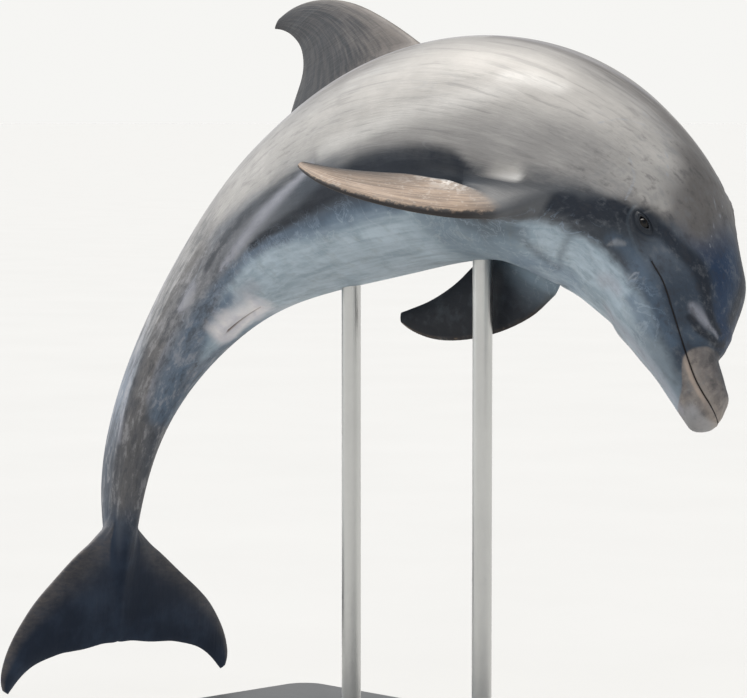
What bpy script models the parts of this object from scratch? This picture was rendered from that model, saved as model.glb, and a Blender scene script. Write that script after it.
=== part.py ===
"""Bottlenose dolphin, life size, arching down out of a leap, as a still model on a display stand.

The dolphin is drawn straight first, as points (u, y, z): u is how far a point lies behind the tip of
the upper jaw, y is to the dolphin's left and z is towards its back. One skin of rings is laid over
the head, trunk and tail stock, and the fins are pulled out of patches of that skin. The whole animal
is then bent along its spine, set over the stand, and parted into its named pieces with thin cuts.
"""
import bpy
import bmesh
import numpy as np
from math import acos, atan2, degrees, pi, radians
from mathutils import Matrix, Vector

# ---- driving sizes of the animal, in metres ----------------------------------------------------
NOSE = -0.027            # the chin, a little ahead of the upper jaw's tip
TAIL_END = 2.520         # the notch between the flukes, so also the animal's length
MELON_FRONT = 0.096      # where the forehead rises from the beak
MELON_ROUND = 0.100      # length over which the forehead rounds off
BEAK_ROUND = 0.050       # length over which the beak's tip rounds off
BEAK_END = 0.420         # the beak's own form is lost in the head behind this
CREASE_SOFTNESS = 0.011  # how softly forehead and beak run together
GAPE = 0.277             # corner of the mouth
EYE = (0.337, 0.147, -0.019)
EYE_RADIUS = 0.0165
EYE_INSET = 0.010        # how far the middle of an eyeball lies inside the widest line
BLOWHOLE = (0.350, 0.008)
BLOWHOLE_RADIUS = 0.021
PLUG_DEPTH = 0.016       # the blowhole's plug goes this deep into the crown

# Stations of head, trunk and tail stock: u, top, widest level, bottom, half width.
BODY = [
    (0.105, 0.078, -0.028, -0.130, 0.088),
    (0.160, 0.099, -0.024, -0.130, 0.096),
    (0.220, 0.117, -0.024, -0.133, 0.114),
    (0.340, 0.165, -0.030, -0.157, 0.147),
    (0.550, 0.199, -0.030, -0.211, 0.192),
    (0.800, 0.212, -0.020, -0.227, 0.216),
    (1.100, 0.206, -0.010, -0.224, 0.211),
    (1.400, 0.180, 0.000, -0.187, 0.159),
    (1.700, 0.142, 0.005, -0.131, 0.100),
    (2.000, 0.105, 0.004, -0.085, 0.056),
    (2.200, 0.074, 0.002, -0.062, 0.036),
    (2.320, 0.042, 0.000, -0.038, 0.033),
    (2.400, 0.021, 0.000, -0.020, 0.036),
    (2.480, 0.010, 0.000, -0.010, 0.034),
    (2.520, 0.006, 0.000, -0.006, 0.020),
]
# Stations of the beak, upper and lower jaw together, in the same order.
BEAK = [
    (-0.027, -0.052, -0.084, -0.138, 0.038),
    (0.023, -0.046, -0.082, -0.142, 0.044),
    (0.075, -0.038, -0.078, -0.141, 0.052),
    (0.127, -0.029, -0.074, -0.139, 0.065),
    (0.200, -0.014, -0.070, -0.139, 0.088),
    (0.300, 0.010, -0.060, -0.146, 0.112),
    (0.420, 0.020, -0.050, -0.145, 0.120),
]
# The level of the mouth line, which runs up behind its corner to the level of the eye.
MOUTH = [(-0.027, -0.090), (0.040, -0.092), (0.111, -0.077), (0.182, -0.059), (0.226, -0.048),
         (0.277, -0.044), (0.337, -0.019), (0.450, -0.018), (0.800, -0.015), (1.400, 0.0), (2.520, 0.0)]

# How the spine turns, in degrees, against the trunk at u = SPINE_REST: nose-down arch, bend to the
# dolphin's left, and roll of the section.
SPINE_REST = 0.90
ARCH = [(0.38, -55), (0.55, -43), (0.78, -19), (1.05, 0), (1.40, 12), (1.75, 41), (2.05, 63),
        (2.25, 76), (2.45, 73)]
SIDE_BEND = [(0.38, 18), (0.62, 9), (0.90, 0), (1.40, -4), (1.90, -5), (2.25, -19), (2.45, -25)]
ROLL = [(0.38, -30), (0.62, -4), (0.90, 0), (1.40, -6), (1.90, -9), (2.25, -1), (2.45, -2)]

# Fins: outlines as leading and trailing edges, root to tip, and thicknesses at the root, a third,
# two thirds of the way and the tip. The back fin's points are (z, u) and a fluke's are (y, u).
BACK_FIN_FRONT = [(0.208, 1.012), (0.268, 1.068), (0.346, 1.148), (0.426, 1.238), (0.496, 1.333),
                  (0.534, 1.402), (0.540, 1.450)]
BACK_FIN_REAR = [(0.180, 1.466), (0.283, 1.424), (0.345, 1.395), (0.408, 1.395), (0.460, 1.414),
                 (0.500, 1.437), (0.528, 1.459)]
BACK_FIN_THICK = (0.050, 0.034, 0.022, 0.007)
FLUKE_FRONT = [(0.034, 2.272), (0.078, 2.316), (0.138, 2.352), (0.186, 2.390), (0.228, 2.430),
               (0.262, 2.474), (0.288, 2.522), (0.300, 2.570), (0.292, 2.606)]
FLUKE_REAR = [(0.028, 2.514), (0.060, 2.533), (0.100, 2.531), (0.140, 2.531), (0.188, 2.541),
              (0.222, 2.553), (0.250, 2.573), (0.271, 2.595), (0.284, 2.610)]
FLUKE_THICK = (0.040, 0.028, 0.018, 0.006)
# A flipper's points are (along its span, across it); its root is turned out from the body.
FLIPPER_FRONT = [(0.000, -0.064), (0.084, -0.088), (0.168, -0.082), (0.252, -0.049), (0.330, 0.000),
                 (0.382, 0.053), (0.408, 0.094)]
FLIPPER_REAR = [(0.000, 0.064), (0.052, 0.084), (0.126, 0.088), (0.210, 0.079), (0.294, 0.083),
                (0.360, 0.097), (0.402, 0.108)]
FLIPPER_THICK = (0.044, 0.028, 0.018, 0.006)
BACK_FIN_ROOT = (0.97, 1.51)      # from where to where along the body each kind of fin is rooted
FLUKE_ROOT = (2.245, 2.505)
FLIPPER_ROOT = 0.11               # half of a flipper's root
FIN_SPANS = (0.14, 0.30, 0.46, 0.62, 0.77, 0.89, 0.97)   # where a fin has its own sections
# Each flipper is stiff. Its root is a straight point, and its span and chord directions are forward,
# left and up at that station.
FLIPPERS = {
    "flipper_right": ((0.596, -0.159, -0.117), (-0.70, -0.505, -0.51), (-0.71, 0.59, 0.38)),
    "flipper_left": ((0.706, 0.133, -0.183), (-0.68, 0.14, -0.72), (-0.735, -0.12, 0.668)),
}

# ---- driving sizes of the stand ------------------------------------------------------------------
BASE_SIZE = (1.30, 0.80, 0.030)
BASE_CORNER = 0.060
BASE_EDGE = 0.005
FLUKE_CLEARANCE = 0.035   # lowest point of the flukes over the base's top
ROD_RADIUS = 0.020
ROD_TOPS = ((0.88, 0.055, -0.150), (1.30, 0.045, -0.120))   # straight points inside the belly
COLLAR_RADIUS = 0.048
COLLAR_HEIGHT = 0.026
NOSE_UP = 4.4             # trim of the trunk at rest on the rods, in degrees
LEFT_DOWN = 15.5          # bank of the trunk, in degrees

GAP = 0.0005              # every cut, and every clearance between pieces
CROSS_CUTS = ((0.455, 0.26), (0.965, 0.30), (1.54, 0.22), (2.215, 0.14))   # places and half widths
FLUKE_CUT = 0.042         # a fluke is cut off this far from the middle of the tail's end
BACK_FIN_CUT = 0.022      # the back fin is cut off this far above the line of the back
FLIPPER_CUT = 0.045       # a flipper is cut off this far along its span
COLUMNS = 32              # faces round the body

# ---- colours ---------------------------------------------------------------------------------------
EYE_COLOUR = (0.012, 0.010, 0.009)
STAND_COLOUR = (0.045, 0.047, 0.050)
STEEL_COLOUR = (0.56, 0.56, 0.55)
# The pieces that the animal is parted into: a straight point in the middle of each, and its colour.
PIECES = {
    "head": ((0.30, 0, 0.03), (0.15, 0.14, 0.13)),
    "lower_jaw": ((0.18, 0, -0.115), (0.30, 0.29, 0.25)),
    "chest": ((0.72, 0, 0), (0.20, 0.21, 0.20)),
    "trunk": ((1.25, 0, 0), (0.17, 0.17, 0.16)),
    "tail_stock": ((1.87, 0, 0), (0.13, 0.115, 0.095)),
    "fluke_hub": ((2.36, 0, 0), (0.060, 0.055, 0.050)),
    "back_fin": ((1.29, 0, 0.35), (0.080, 0.075, 0.070)),
    "fluke_left": ((2.46, 0.16, 0), (0.030, 0.032, 0.040)),
    "fluke_right": ((2.46, -0.16, 0), (0.034, 0.034, 0.040)),
    "flipper_left": ((0.80, 0.22, -0.32), (0.040, 0.038, 0.036)),
    "flipper_right": ((0.76, -0.30, -0.23), (0.16, 0.125, 0.09)),
}
PLUG_COLOUR = (0.050, 0.048, 0.045)


def spline(rows, at):
    """A smooth curve through hand-set rows, each a place followed by its values."""
    table = np.asarray(rows, float)
    places, values = table[:, 0], table[:, 1:]
    slopes = np.gradient(values, places, axis=0)
    at = np.clip(np.asarray(at, float), places[0], places[-1])
    k = np.clip(np.searchsorted(places, at, side="right") - 1, 0, len(places) - 2)
    step = (places[k + 1] - places[k])[..., None]
    t = (at - places[k])[..., None] / step
    start = (2 * t**3 - 3 * t**2 + 1) * values[k] + (t**3 - 2 * t**2 + t) * step * slopes[k]
    end = (3 * t**2 - 2 * t**3) * values[k + 1] + (t**3 - t**2) * step * slopes[k + 1]
    return np.squeeze(start + end, -1) if values.shape[1] == 1 else start + end


def smooth(start, end, at):
    """0 before start, 1 after end, and a soft step between them."""
    t = np.clip((at - start) / (end - start), 0, 1)
    return t * t * (3 - 2 * t)


def oval_depth(rows, u, y, z, power, front, rounding):
    """Roughly how far (y, z) lies outside the oval section that the rows give at u."""
    top, level, bottom, half = np.moveaxis(spline(rows, u), -1, 0)
    cap = np.sqrt(np.clip(1 - (1 - np.clip((u - front) / rounding, 0, 1)) ** 2, 0, 1))
    half = np.maximum(half * cap, 1e-5)
    height = np.maximum(np.where(z > level, top - level, level - bottom) * cap, 1e-5)
    size = ((np.abs(y) / half) ** power + (np.abs(z - level) / height) ** power) ** (1 / power)
    return (size - 1) * np.minimum(half, height)


def outside(u, y, z):
    """Negative inside the body and positive outside, near its surface in metres."""
    power = 2.2 - 0.5 * smooth(1.2, 2.1, u)
    trunk = oval_depth(BODY, u, y, z, power, MELON_FRONT, MELON_ROUND) + np.maximum(MELON_FRONT - u, 0)
    beak = oval_depth(BEAK, u, y, z, 2.3, NOSE, BEAK_ROUND) + 0.2 * smooth(0.25, BEAK_END, u)
    nearer, other = np.minimum(trunk, beak), np.maximum(trunk, beak)
    return nearer - CREASE_SOFTNESS * np.log1p(np.exp((nearer - other) / CREASE_SOFTNESS))


def skin_point(u, angle):
    """The point of the skin at u in a direction round the mouth-and-eye line: 0 left, pi / 2 up."""
    u, angle = np.broadcast_arrays(np.asarray(u, float), np.asarray(angle, float))
    level = spline(MOUTH, u)
    near, far = np.zeros_like(u), np.full_like(u, 0.40)
    for _ in range(34):
        middle = (near + far) / 2
        out = outside(u, middle * np.cos(angle), level + middle * np.sin(angle)) > 0
        near, far = np.where(out, near, middle), np.where(out, middle, far)
    return np.stack([u, near * np.cos(angle), level + near * np.sin(angle)], -1)


def ring_places():
    """Where the rings of the skin lie along the body, closer together on the head."""
    gaps = [(NOSE, 0.006), (0.03, 0.020), (0.085, 0.014), (0.12, 0.010), (0.16, 0.024),
            (0.36, 0.034), (0.55, 0.046), (1.00, 0.056), (2.05, 0.064), (2.25, 0.033), (2.52, 0.018)]
    places = [NOSE + 0.004]
    while places[-1] < TAIL_END - 0.010:
        places.append(min(places[-1] + float(spline(gaps, places[-1])), TAIL_END - 0.004))
    return np.array(places)


def fin_section(front, rear, thick, s, along, across):
    """Points of a fin's lens section at the share s of its span: two places in its plane, one out.

    along and across run from -1 to 1 over the patch of skin that the fin is pulled from.
    """
    spread = np.linspace(0, 1, len(front))
    fore = spline(np.column_stack([spread, front]), s)
    aft = spline(np.column_stack([spread, rear]), s)
    depth = spline(np.column_stack([(0, 0.33, 0.67, 1), thick]), s) / 2
    chord = along * np.sqrt(1 - across**2 / 2)
    rise = across * np.sqrt(1 - along**2 / 2)
    share = (1 + chord) / 2
    rim = np.sqrt(np.maximum(1 - chord**2, 1e-9))
    lens = 2.4 * np.sqrt(share) * (1 - share) ** 0.8 + 0.06 * rim
    place = fore + (aft - fore) * share[:, None]
    return place[:, 0], place[:, 1], depth * lens * rise / rim


class Spine:
    """The bent spine: for each u a centre and the directions forward, left and to the back."""

    def __init__(self):
        self.u = np.linspace(-0.05, 2.75, 281)
        turns = np.radians([spline(rows, self.u) for rows in (ROLL, ARCH, SIDE_BEND)]).T
        rest = int(np.argmin(abs(self.u - SPINE_REST)))
        axes = [None] * len(self.u)
        axes[rest] = Matrix.Identity(3)
        for k in list(range(rest + 1, len(self.u))) + list(range(rest - 1, -1, -1)):
            before = k - 1 if k > rest else k + 1
            roll, arch, side = turns[k] - turns[before]
            turn = Vector((roll, -arch, side))
            step = Matrix.Rotation(turn.length, 3, turn) if turn.length else Matrix.Identity(3)
            axes[k] = axes[before] @ step
        self.axes = np.array([[tuple(row) for row in frame] for frame in axes])
        forward = self.axes[:, :, 0]
        steps = (forward[1:] + forward[:-1]) / 2 * (self.u[1] - self.u[0])
        self.centre = np.vstack([np.zeros(3), -np.cumsum(steps, axis=0)])
        self.centre -= self.centre[rest]

    def frame(self, u):
        axes = [[np.interp(u, self.u, self.axes[:, i, j]) for j in range(3)] for i in range(3)]
        return np.moveaxis(np.array(axes), (0, 1), (-2, -1)), self.read(self.centre, u)

    def read(self, table, u):
        return np.stack([np.interp(u, self.u, table[:, i]) for i in range(3)], -1)

    def bend(self, u, y, z, held=0.0, held_at=0.0):
        """Where straight points go; held is how far a point keeps stiff with the station held_at."""
        u, y, z, held, held_at = np.broadcast_arrays(u, y, z, held, held_at)
        axes, centre = self.frame(u)
        bent = centre + y[..., None] * axes[..., 1] + z[..., None] * axes[..., 2]
        axes, centre = self.frame(held_at)
        stiff = centre + np.einsum("...ij,...j->...i", axes, np.stack([held_at - u, y, z], -1))
        return bent + (stiff - bent) * held[..., None]


class Skin:
    """The closed skin of the straight dolphin, as a mesh whose vertices remember where they lie."""

    def __init__(self, columns, places):
        self.columns, self.places = columns, places
        self.mesh = bmesh.new()
        bmesh.ops.create_uvsphere(self.mesh, u_segments=columns, v_segments=len(places) + 1, radius=1)
        layers = self.mesh.verts.layers
        self.ring, self.column = layers.int.new("ring"), layers.int.new("column")
        self.along, self.across = layers.float.new("along"), layers.float.new("across")
        self.held, self.held_at = layers.float.new("held"), layers.float.new("held_at")
        angles = np.arange(columns) * 2 * pi / columns
        points = skin_point(places[:, None], angles[None, :])
        mouth = spline(MOUTH, [NOSE, TAIL_END])
        for vert in self.mesh.verts:
            ring = round(acos(max(-1, min(1, vert.co.z))) / pi * (len(places) + 1)) - 1
            column = round(atan2(vert.co.y, vert.co.x) / (2 * pi) * columns) % columns
            vert[self.ring], vert[self.column] = ring, column
            if ring < 0:
                vert.co = (NOSE, 0, mouth[0])
            elif ring == len(places):
                vert.co = (TAIL_END, 0, mouth[1])
            else:
                vert.co = points[ring, column]

    def patch(self, u_from, u_to, angle_from, angle_to):
        """The faces between two places along the body and two directions round it, in degrees."""
        first, last = (int(np.argmin(abs(self.places - u))) for u in (u_from, u_to))
        low, high = (round(angle / 360 * self.columns) for angle in (angle_from, angle_to))
        faces = []
        for face in self.mesh.faces:
            rings = [vert[self.ring] for vert in face.verts]
            turns = [(vert[self.column] - low) % self.columns for vert in face.verts]
            if min(rings) >= first and max(rings) <= last and max(turns) <= high - low:
                faces.append(face)
        for vert in {vert for face in faces for vert in face.verts}:
            vert[self.along] = 2 * (vert[self.ring] - first) / (last - first) - 1
            vert[self.across] = 2 * ((vert[self.column] - low) % self.columns) / (high - low) - 1
        return faces

    def pull(self, faces, section, spans, fillets=(0.35, 0.7), held_at=None):
        """Pull a fin out of a patch: a fillet up to the first span, then the fin's own sections."""
        verts = list({vert for face in faces for vert in face.verts})
        key = {(round(vert[self.along], 4), round(vert[self.across], 4)): k
               for k, vert in enumerate(verts)}
        along, across = (np.array([vert[layer] for vert in verts]) for layer in (self.along, self.across))
        skin = np.array([vert.co for vert in verts])
        foot = section(0.0, along, across)
        toward = np.arctan2(foot[:, 2] - spline(MOUTH, foot[:, 0]), foot[:, 1])
        foot = skin_point(foot[:, 0], toward)
        wall = section(spans[0], along, across)
        rows = [(skin * (1 - share)**2 + foot * 2 * share * (1 - share) + wall * share**2, share**2)
                for share in fillets] + [(section(s, along, across), 1.0) for s in spans]
        for points, held in rows:
            pulled = bmesh.ops.extrude_face_region(self.mesh, geom=faces)["geom"]
            old = [face for face in faces if face.is_valid]
            bmesh.ops.delete(self.mesh, geom=old, context="FACES")
            faces = [item for item in pulled if isinstance(item, bmesh.types.BMFace)]
            for vert in {vert for face in faces for vert in face.verts}:
                vert.co = points[key[(round(vert[self.along], 4), round(vert[self.across], 4))]]
                if held_at:
                    vert[self.held], vert[self.held_at] = held, held_at


def back_fin(s, along, across):
    """Points of the back fin; its thickness runs from its left side to its right."""
    z, u, thickness = fin_section(BACK_FIN_FRONT, BACK_FIN_REAR, BACK_FIN_THICK, s, along, across)
    return np.stack([u, -thickness, z], -1)


def fluke(side, s, along, across):
    """Points of a fluke; side is 1 for the left one and -1 for the right one."""
    y, u, thickness = fin_section(FLUKE_FRONT, FLUKE_REAR, FLUKE_THICK, s, along, across)
    return np.stack([u, side * y, side * thickness], -1)


def flipper(name, s, along, across):
    """Points of a flipper, whose root is slanted to lie along the side of the body."""
    (u, y, z), span, chord = FLIPPERS[name]
    span, chord = Vector(span).normalized(), Vector(chord)
    chord = (chord - span * chord.dot(span)).normalized()
    outward = Vector((0, y, z + 0.02))
    flat = span.cross(chord)
    slant, lean = -chord.dot(outward) / span.dot(outward), -flat.dot(outward) / span.dot(outward)
    a, b, thickness = fin_section(FLIPPER_FRONT, FLIPPER_REAR, FLIPPER_THICK, s, along, across)
    a = a + (b * slant + thickness * lean) * (1 - s) ** 2
    place = np.outer(a, span) + np.outer(b, chord) + np.outer(thickness, flat)
    points = np.stack([u - place[:, 0], y + place[:, 1], z + place[:, 2]], -1)
    short = 0.014 + 0.10 * s - outside(*points.T)
    return points + np.outer(np.maximum(short, 0), outward.normalized())


def straight_dolphin():
    """The whole animal in one closed skin, still straight."""
    skin = Skin(COLUMNS, ring_places())
    skin.pull(skin.patch(*BACK_FIN_ROOT, 78, 102), back_fin, FIN_SPANS)
    for side, middle in ((1, 0), (-1, 180)):
        skin.pull(skin.patch(*FLUKE_ROOT, middle - 34, middle + 34),
                  lambda s, along, across: fluke(side, s, along, across), FIN_SPANS)
    for name, ((u, y, z), _, _) in FLIPPERS.items():
        middle = degrees(atan2(z - spline(MOUTH, u), y)) % 360
        skin.pull(skin.patch(u - FLIPPER_ROOT, u + FLIPPER_ROOT, middle - 15, middle + 15),
                  lambda s, along, across: flipper(name, s, along, across), FIN_SPANS, held_at=u)
    return skin


# ---- solids ----------------------------------------------------------------------------------------
def finish_solid(name, mesh):
    """Make a scene object of a mesh, with its faces pointing out."""
    bmesh.ops.recalc_face_normals(mesh, faces=mesh.faces)
    if mesh.calc_volume(signed=True) < 0:
        bmesh.ops.reverse_faces(mesh, faces=mesh.faces)
    data = bpy.data.meshes.new(name)
    mesh.to_mesh(data)
    mesh.free()
    solid = bpy.data.objects.new(name, data)
    bpy.context.scene.collection.objects.link(solid)
    return solid


def paint(solid, colour, roughness, metallic=0.0):
    """Give a finished piece its own material, smooth shading and an origin at its middle."""
    corners = np.array([vert.co[:] for vert in solid.data.vertices])
    middle = Vector((corners.min(axis=0) + corners.max(axis=0)) / 2)
    solid.data.transform(Matrix.Translation(-middle))
    solid.location = middle
    material = bpy.data.materials.new(solid.name)
    material.use_nodes = True
    shader = material.node_tree.nodes["Principled BSDF"]
    shader.inputs["Base Color"].default_value = (*colour, 1)
    shader.inputs["Roughness"].default_value = roughness
    shader.inputs["Metallic"].default_value = metallic
    solid.data.materials.clear()
    solid.data.materials.append(material)
    solid.data.shade_smooth()
    solid.data.set_sharp_from_angle(angle=radians(35))


def combine(solid, tool, operation="DIFFERENCE"):
    """Apply an exact Boolean to a solid and throw the tool away."""
    step = solid.modifiers.new("cut", "BOOLEAN")
    step.operation, step.object, step.solver = operation, tool, "EXACT"
    evaluated = solid.evaluated_get(bpy.context.evaluated_depsgraph_get())
    data = bpy.data.meshes.new_from_object(evaluated)
    solid.modifiers.clear()
    solid.data = data
    bpy.data.objects.remove(tool)


def sheet_cutter(place, rows, columns):
    """A thin curved sheet as a cutter: place(i, j, side) gives its two faces, side 0 or 1."""
    mesh = bmesh.new()
    bmesh.ops.create_grid(mesh, x_segments=columns, y_segments=rows, size=1)
    bmesh.ops.triangulate(mesh, faces=mesh.faces)
    bmesh.ops.solidify(mesh, geom=list(mesh.faces), thickness=1.0)
    for vert in mesh.verts:
        side = 1 if abs(vert.co.z) > 0.5 else 0
        vert.co = place((vert.co.x + 1) / 2, (vert.co.y + 1) / 2, side)
    return finish_solid("cutter", mesh)


def cylinder(name, radius, foot, top, segments=32):
    """A round bar between two points."""
    foot, top = Vector(foot), Vector(top)
    mesh = bmesh.new()
    bmesh.ops.create_cone(mesh, cap_ends=True, segments=segments, radius1=radius, radius2=radius,
                          depth=(top - foot).length)
    turn = Vector((0, 0, 1)).rotation_difference(top - foot).to_matrix().to_4x4()
    bmesh.ops.transform(mesh, matrix=Matrix.Translation((foot + top) / 2) @ turn, verts=mesh.verts)
    return finish_solid(name, mesh)


# ---- the dolphin ------------------------------------------------------------------------------------
SPINE = Spine()
TILT = Matrix.Rotation(-radians(NOSE_UP), 3, "Y") @ Matrix.Rotation(-radians(LEFT_DOWN), 3, "X")
LIFT = Vector((0, 0, 0))


def world(u, y, z, held=0.0, held_at=0.0):
    """Where a straight point of the dolphin stands over the base."""
    return TILT @ Vector(SPINE.bend(u, y, z, held, held_at)) + LIFT


def set_on_stand(skin):
    """Bend the skin, and return how far to move it so that it hangs centred over the base."""
    for vert in skin.mesh.verts:
        vert.co = TILT @ Vector(SPINE.bend(*vert.co, vert[skin.held], vert[skin.held_at]))
    corners = np.array([vert.co[:] for vert in skin.mesh.verts])
    low, high = corners.min(axis=0), corners.max(axis=0)
    lift = Vector((-(low[0] + high[0]) / 2, -(low[1] + high[1]) / 2,
                   BASE_SIZE[2] + FLUKE_CLEARANCE - low[2]))
    bmesh.ops.translate(skin.mesh, vec=lift, verts=skin.mesh.verts)
    return lift


def cross_cut(u, half):
    """Cut the body across at u."""
    return sheet_cutter(lambda i, j, side: world(u + GAP * side, (2 * i - 1) * half,
                                                 (2 * j - 1) * half), 1, 1)


def back_fin_cut():
    """Cut the back fin off along the line of the back, a little above it."""
    def place(i, j, side):
        u = BACK_FIN_ROOT[0] + 0.005 + 0.555 * j
        return world(u, (2 * i - 1) * 0.08, spline(BODY, u)[0] + BACK_FIN_CUT + GAP * side)
    return sheet_cutter(place, 12, 1)


def fluke_cut(side):
    """Cut a fluke off the tail's end."""
    return sheet_cutter(lambda i, j, face: world(2.22 + 0.36 * i, side * (FLUKE_CUT + GAP * face),
                                                 (2 * j - 1) * 0.08), 1, 8)


def flipper_cut(name):
    """Cut a flipper off on a plane that runs along the body, just outside it."""
    (u, y, z), span, _ = FLIPPERS[name]
    outward = Vector((0, y, z + 0.02)).normalized()
    along = Vector((1, 0, 0))
    across = outward.cross(along)
    middle = Vector((0, y, z)) + Vector(span) * (FLIPPER_CUT / Vector(span).dot(outward))

    def place(i, j, side):
        point = middle + along * (2 * i - 1) * 0.13 + across * (2 * j - 1) * 0.07
        point += outward * GAP * side
        return world(u - point.x, point.y, point.z, 1.0, u)
    return sheet_cutter(place, 1, 1)


def jaw_cut():
    """Cut the lower jaw free along the mouth line, then down behind its corner to the throat."""
    route = [(0.00, -0.055, -0.089), (0.22, 0.040, -0.092), (0.39, 0.111, -0.077),
             (0.55, 0.182, -0.059), (0.65, 0.226, -0.048), (0.75, GAPE, -0.046),
             (0.82, 0.312, -0.068), (0.88, 0.335, -0.110), (1.00, 0.370, -0.230)]

    def place(i, j, side):
        u, z = spline(route, j)
        ahead, behind = spline(route, min(j + 0.01, 1)), spline(route, max(j - 0.01, 0))
        along = Vector(ahead - behind).normalized()
        return world(u + along.y * GAP * side, (2 * i - 1) * 0.19, z - along.x * GAP * side)
    return sheet_cutter(place, 24, 1)


def loose_pieces(solid):
    """Split a solid that has been cut through into its loose pieces."""
    whole = bmesh.new()
    whole.from_mesh(solid.data)
    bpy.data.objects.remove(solid)
    waiting = set(whole.verts)
    pieces = []
    while waiting:
        reached = {waiting.pop()}
        front = list(reached)
        while front:
            vert = front.pop()
            fresh = {edge.other_vert(vert) for edge in vert.link_edges} & waiting
            waiting -= fresh
            reached |= fresh
            front += fresh
        keep = {vert.index for vert in reached}
        piece = whole.copy()
        others = [vert for vert in piece.verts if vert.index not in keep]
        bmesh.ops.delete(piece, geom=others, context="VERTS")
        pieces.append(piece)
    whole.free()
    return pieces


# ---- build -------------------------------------------------------------------------------------------
for item in list(bpy.data.objects):
    bpy.data.objects.remove(item)

straight = straight_dolphin()
LIFT = set_on_stand(straight)
animal = finish_solid("animal", straight.mesh)

# Sockets for the rods, straight up into the belly.
rod_tops = [world(*top) for top in ROD_TOPS]
for top in rod_tops:
    combine(animal, cylinder("socket", ROD_RADIUS + GAP, (top.x, top.y, 0.2), top))

# The plug of the blowhole: a round piece let into the crown.
crown = float(spline(BODY, BLOWHOLE[0])[0])
plug_ends = [world(*BLOWHOLE, crown + offset) for offset in (-PLUG_DEPTH, 0.020)]
plug = animal.copy()
plug.data = animal.data.copy()
bpy.context.scene.collection.objects.link(plug)
combine(plug, cylinder("core", BLOWHOLE_RADIUS - GAP, *plug_ends, 24), "INTERSECT")
hole_foot = world(*BLOWHOLE, crown - PLUG_DEPTH - GAP)
combine(animal, cylinder("hole", BLOWHOLE_RADIUS, hole_foot, plug_ends[1], 24))
plug.name = "blowhole_plug"
paint(plug, PLUG_COLOUR, 0.3)

# Eyes, each in its socket.
for name, side in (("eye_left", 1), ("eye_right", -1)):
    middle = world(EYE[0], side * (EYE[1] - EYE_INSET), EYE[2])
    for label, radius in (("socket", EYE_RADIUS + GAP), (name, EYE_RADIUS)):
        ball = bmesh.new()
        bmesh.ops.create_uvsphere(ball, u_segments=16, v_segments=10, radius=radius,
                                  matrix=Matrix.Translation(middle))
        eye = finish_solid(label, ball)
        if label == "socket":
            combine(animal, eye)
    paint(eye, EYE_COLOUR, 0.08)

# All the cuts at once, for none of them meets another.
cuts = [cross_cut(u, half) for u, half in CROSS_CUTS]
cuts += [back_fin_cut(), fluke_cut(1), fluke_cut(-1), jaw_cut()]
cuts += [flipper_cut(name) for name in FLIPPERS]
sheets = bmesh.new()
for cut in cuts:
    sheets.from_mesh(cut.data)
    bpy.data.objects.remove(cut)
tool = bpy.data.meshes.new("sheets")
sheets.to_mesh(tool)
sheets.free()
sheets = bpy.data.objects.new("sheets", tool)
bpy.context.scene.collection.objects.link(sheets)
combine(animal, sheets)

for piece in loose_pieces(animal):
    centre = sum((vert.co for vert in piece.verts), Vector()) / len(piece.verts)
    name = min(PIECES, key=lambda label: (world(*PIECES[label][0]) - centre).length)
    paint(finish_solid(name, piece), PIECES[name][1], 0.36)

# ---- the stand: a plate on the floor and two rods in collars --------------------------------------
base_top = BASE_SIZE[2]
plate = bmesh.new()
bmesh.ops.create_cube(plate, size=1)
bmesh.ops.scale(plate, vec=BASE_SIZE, verts=plate.verts)
bmesh.ops.translate(plate, vec=(0, 0, base_top / 2), verts=plate.verts)
corners = [edge for edge in plate.edges if edge.verts[0].co.z * edge.verts[1].co.z == 0
           and edge.verts[0].co.z != edge.verts[1].co.z]
bmesh.ops.bevel(plate, geom=corners, offset=BASE_CORNER, segments=8, profile=0.5, affect="EDGES")
rim = [edge for edge in plate.edges if all(vert.co.z > base_top / 2 for vert in edge.verts)]
bmesh.ops.bevel(plate, geom=rim, offset=BASE_EDGE, segments=3, profile=0.5, affect="EDGES")
paint(finish_solid("stand_base", plate), STAND_COLOUR, 0.45)

for place, top in zip(("front", "rear"), rod_tops):
    foot = Vector((top.x, top.y, base_top + GAP))
    rod = cylinder(f"stand_rod_{place}", ROD_RADIUS, foot, top - Vector((0, 0, GAP)))
    paint(rod, STEEL_COLOUR, 0.3, 1.0)
    collar = cylinder(f"stand_collar_{place}", COLLAR_RADIUS, foot, foot + Vector((0, 0, COLLAR_HEIGHT)))
    combine(collar, cylinder("core", ROD_RADIUS + GAP, foot - Vector((0, 0, COLLAR_HEIGHT)),
                             foot + Vector((0, 0, 2 * COLLAR_HEIGHT))))
    paint(collar, STEEL_COLOUR, 0.3, 1.0)
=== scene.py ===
"""A life-size bottlenose dolphin, cast and painted as a museum model, on its display stand.

The sections follow the model as it is put together: the body's form, its fins, the fine relief of
the skin, the bend into the leap, the paint, the eyes, the stand, and then the floor, the lights and
the camera.
"""

from math import acos, atan2, degrees, pi, radians

import bmesh
import bpy
import numpy as np
from mathutils import Matrix, Vector


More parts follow.
